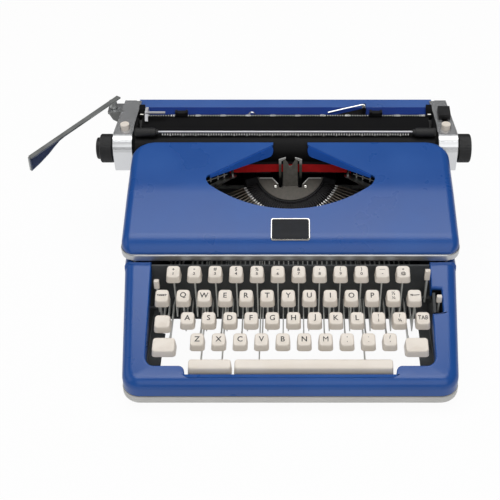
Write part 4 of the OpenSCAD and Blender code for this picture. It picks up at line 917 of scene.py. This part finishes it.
inner_rows = [(172.7, 11, 0), (172.7, 13.6, 0), (173.2, 14.3, 0), (173.9, 14.4, 0.35)]
left_rows = inner_rows + [(183.6, 14.4, 0.35), (184.4, 14.3, 0), (185.0, 13.6, 0), (185.1, 11.2, 0),
                          (185.3, 10.9, 0), (188.0, 10.9, 0), (188.8, 10.3, 0), (189.1, 9.4, 0),
                          (188.9, 6, 0), (188.9, 0.5, 0)]
right_rows = inner_rows + [(183.4, 14.4, 0.35), (184.4, 14.3, 0), (185.0, 13.8, 0), (185.3, 13, 0),
                           (185.1, 11.5, 0), (184.6, 10.5, 0), (184.6, 0.5, 0)]
knobs = joined(knob([(-x, r, depth) for x, r, depth in left_rows]), knob(right_rows))
piece("knob_mouldings", knobs, black_phenolic, "platen", "black_plastic", "platen_knobs")

# Carriage ends: two satin chromed castings, with the cream release buttons and the ridged black paper
# release on them.

# Satin chrome on a ground casting: an even pale grey with a broad soft highlight.
ground_chrome = finish("ground_satin_chrome", "#D6D7D9", "#DCDDDF", 60, (0.24, 0.28), 0.5, 0.0015,
                       Metallic=1.0)
dress(ground_chrome, "left_end_plate", "right_end_plate", edge=1.6)
dress(cream_abs, "left_carriage_release", "right_carriage_release", edge=2.0)
dress(black_phenolic, "paper_release", edge=0.4)


def end_top(y):
    """Height of an end casting's sloping top."""
    return 119.58 + (y - 85.89) * 0.17093


lip_edge = [(90.0, 152.4), (100.0, 152.2), (119.0, 149.9), (128.0, 148.4), (134.0, 147.5)]
lip_out, lip_high, lip_low = 154.5, 0.1, 1.3
skins = []
for side in (-1, 1):
    skins.append(loft([[(carriage_x + side * out, y, end_top(y) - drop) for out, drop in (
        (lip_out, lip_high), (x, lip_high), (x, lip_low), (lip_out, lip_low))] for y, x in lip_edge],
        caps=True))
piece("end_lips", joined(*skins), ground_chrome, "carriage", "chrome")

# Paper bail: a bright steel rod on two black arms that turn at the carriage ends, with a black pressed
# scale under the rod, its marks filled white, and a rubber roller at each end.

# Satin steel rod: a plain light grey line with a soft highlight.
satin_rod = finish("satin_steel_rod", "#B4B4B8", "#BEBEC2", 20, (0.35, 0.45), 0.5, 0.002, (0.1, 1, 1),
                   Metallic=0.8)
# White filling of the engraved scale marks: matt.
scale_white = finish("white_scale_paint", "#E6E6E3", "#EEEEEB", 3, (0.6, 0.7), 0.4, 0.004, IOR=1.5)
bail_y, scale_pitch = 82.5, 2.54
rod_rows = ((-148.2, 1.0), (-148, 1.15), (148, 1.15), (148.2, 1.0))
piece("bail_rod", turned(rod_rows, bail_y, 125.4, 20), satin_rod, "bail", "chrome", "paper_bail")
arm = [(101.2, 109), (107, 109), (107, 124), (104, 127.2), (bail_y, 127.2), (80.3, 125),
       (bail_y, 122.9), (100.4, 122.6), (101.2, 121)]
bail_black = [along(s * 147.5, s * 149.5, arm) for s in (-1, 1)]
bail_black.append(along(-124, 124, [(80.8, 121.5), (82.0, 121.5), (83.1, 126.0), (82.0, 124.3)]))
piece("bail_scale", joined(*bail_black), black_enamel, "bail", "black_steel")
ticks, scale_face, scale_foot, scale_lean = [], 80.72, 121.5, 0.4286
for i in range(-48, 49):
    foot, head = 121.7 if i % 5 == 0 else 122.3, 124.0
    corners = ((foot, 0.0), (foot, 0.15), (head, 0.15), (head, 0.0))
    ticks.append(along(i * scale_pitch - 0.5, i * scale_pitch + 0.5,
                       [(scale_face + (z - scale_foot) * scale_lean + thick, z) for z, thick in corners]))
piece("bail_ticks", joined(*ticks), scale_white, "bail", "chrome")
tyre_rows = [(126.0, 1.6), (126.0, 2.8), (128.4, 3.0), (128.6, 3.9), (129.6, 4.3), (131, 4.4),
             (146.4, 4.4), (148.4, 4.1), (149.3, 3.4), (149.3, 1.6)]
rollers = [turned([(side * x, r) for x, r in tyre_rows], bail_y, 125, 32) for side in (-1, 1)]
piece("bail_tyres", joined(*rollers), black_rubber, "bail", "rubber", "bail_rollers")

# Margin rail: a black steel bar with white figures across the carriage, with its two moulded sliding
# stops, the plated edge guide that slides on the paper table, and the folding wire paper support.

dress(black_enamel, "margin_rail", edge=0.2)
rail_mark = [(116.4, 121.0), (118.2, 121.0), (118.2, 121.06), (116.4, 121.06)]
marks = [along(i * scale_pitch - 0.36, i * scale_pitch + 0.36, rail_mark) for i in range(-56, 56)]
for i in range(12):
    points, faces = glyph(str(10 * i), 3.4, 5.6)
    x = carriage_x - 140 + 10 * scale_pitch * i
    marks.append(([(x + px, 117.4 + py, 121.1) for px, py in points], faces))
piece("rail_marks", joined(*marks), scale_white, "carriage", "chrome")
stop = [(-6.5, 121.4), (6.5, 121.4), (6.5, 125.6), (6.1, 126.0), (4.4, 126.0), (3.6, 125.0),
        (-3.6, 125.0), (-4.4, 126.0), (-6.1, 126.0), (-6.5, 125.6)]
for name, x, body in (("left_margin_stop", -106, "left_margin"),
                      ("right_margin_stop", 92, "right_margin")):
    piece(name + "_block", slab(stop, (115.4, 120.3), lambda px, pz, y: (carriage_x + x + px, y, pz)),
          black_phenolic, body, "black_plastic", name)
# Pale satin nickel: light and even, without a clear reflection.
pale_nickel = finish("pale_satin_nickel", "#D2D2D7", "#DCDCE0", 12, (0.4, 0.5), 0.5, 0.003, Metallic=0.5)
# Bright chrome plate over steel: almost a mirror.
bright_chrome = finish("bright_chrome", "#D0D2D4", "#E0E2E4", 20, (0.08, 0.16), 0.5, 0.002, Metallic=1.0)
dress(pale_nickel, "paper_guide", edge=0.2)


def wire(path, r):
    """A round wire along a path of points."""
    rings = []
    for i, p in enumerate(path):
        here = Vector(p)
        run = (Vector(path[min(i + 1, len(path) - 1)]) - Vector(path[max(i - 1, 0)])).normalized()
        one = run.cross(Vector((0.31, 0.17, 0.93))).normalized()
        two = run.cross(one)
        rings.append([tuple(here + one * u + two * v) for u, v in circle(0, 0, r, 10)])
    return loft(rings, caps=True)


loop = [(43.5, 121.9, 121.6), (61.0, 124.3, 124.9), (76.0, 126.4, 127.4), (78.6, 126.6, 127.9),
        (80.2, 126.0, 128.0), (81.0, 124.6, 127.6), (81.2, 122.6, 126.6)]
sleeve_rows = ((1.35, 121), (2.3, 121), (2.3, 126.8), (1.35, 126.8))
sleeve = loft([[(px, y, pz) for px, pz in circle(carriage_x + hinge_x, hinge_z, r, 24)]
               for r, y in sleeve_rows], along=True)
piece("support_wire", joined(wire([(carriage_x + x, y, z) for x, y, z in loop], 0.75), sleeve),
      bright_chrome, "support", "chrome", "paper_support")
clip_x, clip_y = -34.3, 119.5
clip_path = [(carriage_x + clip_x + x, clip_y, z) for x, z in bow(0, 120.0, 3.5, -10, 190, 12)]
piece("rail_clip", wire(clip_path, 0.6), bright_chrome, "carriage", "chrome")

# Return lever: a folded steel blade on a pivot at the left carriage end, deep at its tip, with a dark
# navy cheek that is a painted reflection, and the plated bracket that carries it.

# Brushed grey plate: satin, darker than the chrome.
brushed_grey = finish("brushed_grey_plate", "#A2A4A2", "#AEB0AE", 15, (0.32, 0.42), 0.5, 0.003,
                      Metallic=0.8)
# Dark navy steel with a soft sheen: a painted reflection of dark blue surroundings in the blade's face.
navy_reflection_steel = finish("navy_reflection_steel", "#414A62", "#4A546E", 12, (0.35, 0.45), 0.5, 0.003, Metallic=0.4)
dress(brushed_grey, "return_lever", edge=0.4)

pivot_x, pivot_y, blade_sin, blade_cos = -175.9, 125.4, 0.565, 0.8251


def on_lever(s, z, t):
    """A point of the lever: s mm out along the blade from its pivot, t mm to the side by the keys."""
    return (carriage_x + pivot_x - blade_sin * s + blade_cos * t,
            pivot_y - blade_cos * s - blade_sin * t, z)


blade = [(54, 131.8), (70, 131.8), (79, 131.2), (87, 128.7), (95, 125.4), (106.5, 122.1),
         (116.6, 120.2), (117.0, 132.2), (54, 132.3)]
piece("lever_cheek", slab(blade, (0.9, 1.25), on_lever), navy_reflection_steel, "return_lever", "chrome")
bracket = [(-180.9, 125.5), (-166.5, 125.5), (-166.0, 111.5), (-171.0, 112.5), (-176.5, 116.0)]
piece("lever_bracket", slab(bracket, (117.0, 118.6), lambda x, z, y: (carriage_x + x, y, z)),
      brushed_grey, "carriage", "chrome")

# Stage: a plain white table with soft studio light from above, the front and the left, against a white
# ground, seen from above the front.

camera = bpy.data.cameras.new("camera")
camera.lens = 72.07
camera.sensor_width = 36
camera.shift_x = -0.0808
eye = bpy.data.objects.new("camera", camera)
eye.location = (0, -0.7337, 0.7026)
eye.rotation_euler = (math.radians(48), 0, 0)
bpy.context.scene.collection.objects.link(eye)
bpy.context.scene.camera = eye

for name, place, aim, size, depth, power in (
        ("overhead", (0.0, 0.165, 1.35), (0.0, 0.165, 0.0), 1.3, 0.73, 10.7),
        ("front_fill", (0.3, -1.5, 1.3), (0.0, 0.0, 0.05), 2.0, 1.6, 12.5),
        ("left_bank", (-1.6, -0.3, 0.9), (0.0, 0.0, 0.08), 1.2, 1.0, 3.0)):
    light = bpy.data.lights.new(name, "AREA")
    light.shape = "RECTANGLE"
    light.size = size
    light.size_y = depth
    light.energy = power
    lamp = bpy.data.objects.new(name, light)
    lamp.location = place
    lamp.rotation_euler = (Vector(aim) - Vector(place)).to_track_quat("-Z", "Y").to_euler()
    bpy.context.scene.collection.objects.link(lamp)

world = bpy.data.worlds.new("studio")
bpy.context.scene.world = world
world.use_nodes = True
sky = world.node_tree
back = sky.nodes["Background"]
back.inputs["Color"].default_value = colour("#FFFFFF")
back.inputs["Strength"].default_value = 0.17
white = add(sky, "ShaderNodeBackground", {"Color": colour("#FFFFFF"), "Strength": 1.0})
ray = add(sky, "ShaderNodeLightPath", {})
pick = add(sky, "ShaderNodeMixShader", {0: ray.outputs["Is Camera Ray"], 1: back.outputs[0],
           2: white.outputs[0]})
sky.links.new(pick.outputs[0], sky.nodes["World Output"].inputs["Surface"])

# White table: matt and pale, nearly white to the camera, so only the machine's soft shade shows on it.
floor_half = 4000
corners = [(sx * floor_half, sy * floor_half, 0) for sx, sy in ((-1, -1), (1, -1), (1, 1), (-1, 1))]
floor = solid("table", (corners, [[0, 1, 2, 3]]))
table = finish("white_table", "#F4F4F4", "#F6F6F6", 200, (0.8, 0.9), 3.0, 0.01, IOR=1.45)
top = table.node_tree
glow = add(top, "ShaderNodeEmission", {"Color": colour("#FFFFFF"), "Strength": 1.0})
path = add(top, "ShaderNodeLightPath", {})
mirrored = add(top, "ShaderNodeMapRange", {"Value": path.outputs["Is Glossy Ray"], "To Min": 0.0,
               "To Max": 0.75})
lifted = add(top, "ShaderNodeMixShader", {0: mirrored.outputs["Result"],
             1: top.nodes["Principled BSDF"].outputs[0], 2: glow.outputs[0]})
seen = add(top, "ShaderNodeMapRange", {"Value": path.outputs["Is Camera Ray"], "To Min": 0.0,
           "To Max": 0.95})
part = add(top, "ShaderNodeMixShader", {0: seen.outputs["Result"], 1: lifted.outputs[0],
           2: glow.outputs[0]})
top.links.new(part.outputs[0], top.nodes["Material Output"].inputs["Surface"])
floor.data.materials.append(table)

bpy.context.scene.view_settings.view_transform = "Standard"
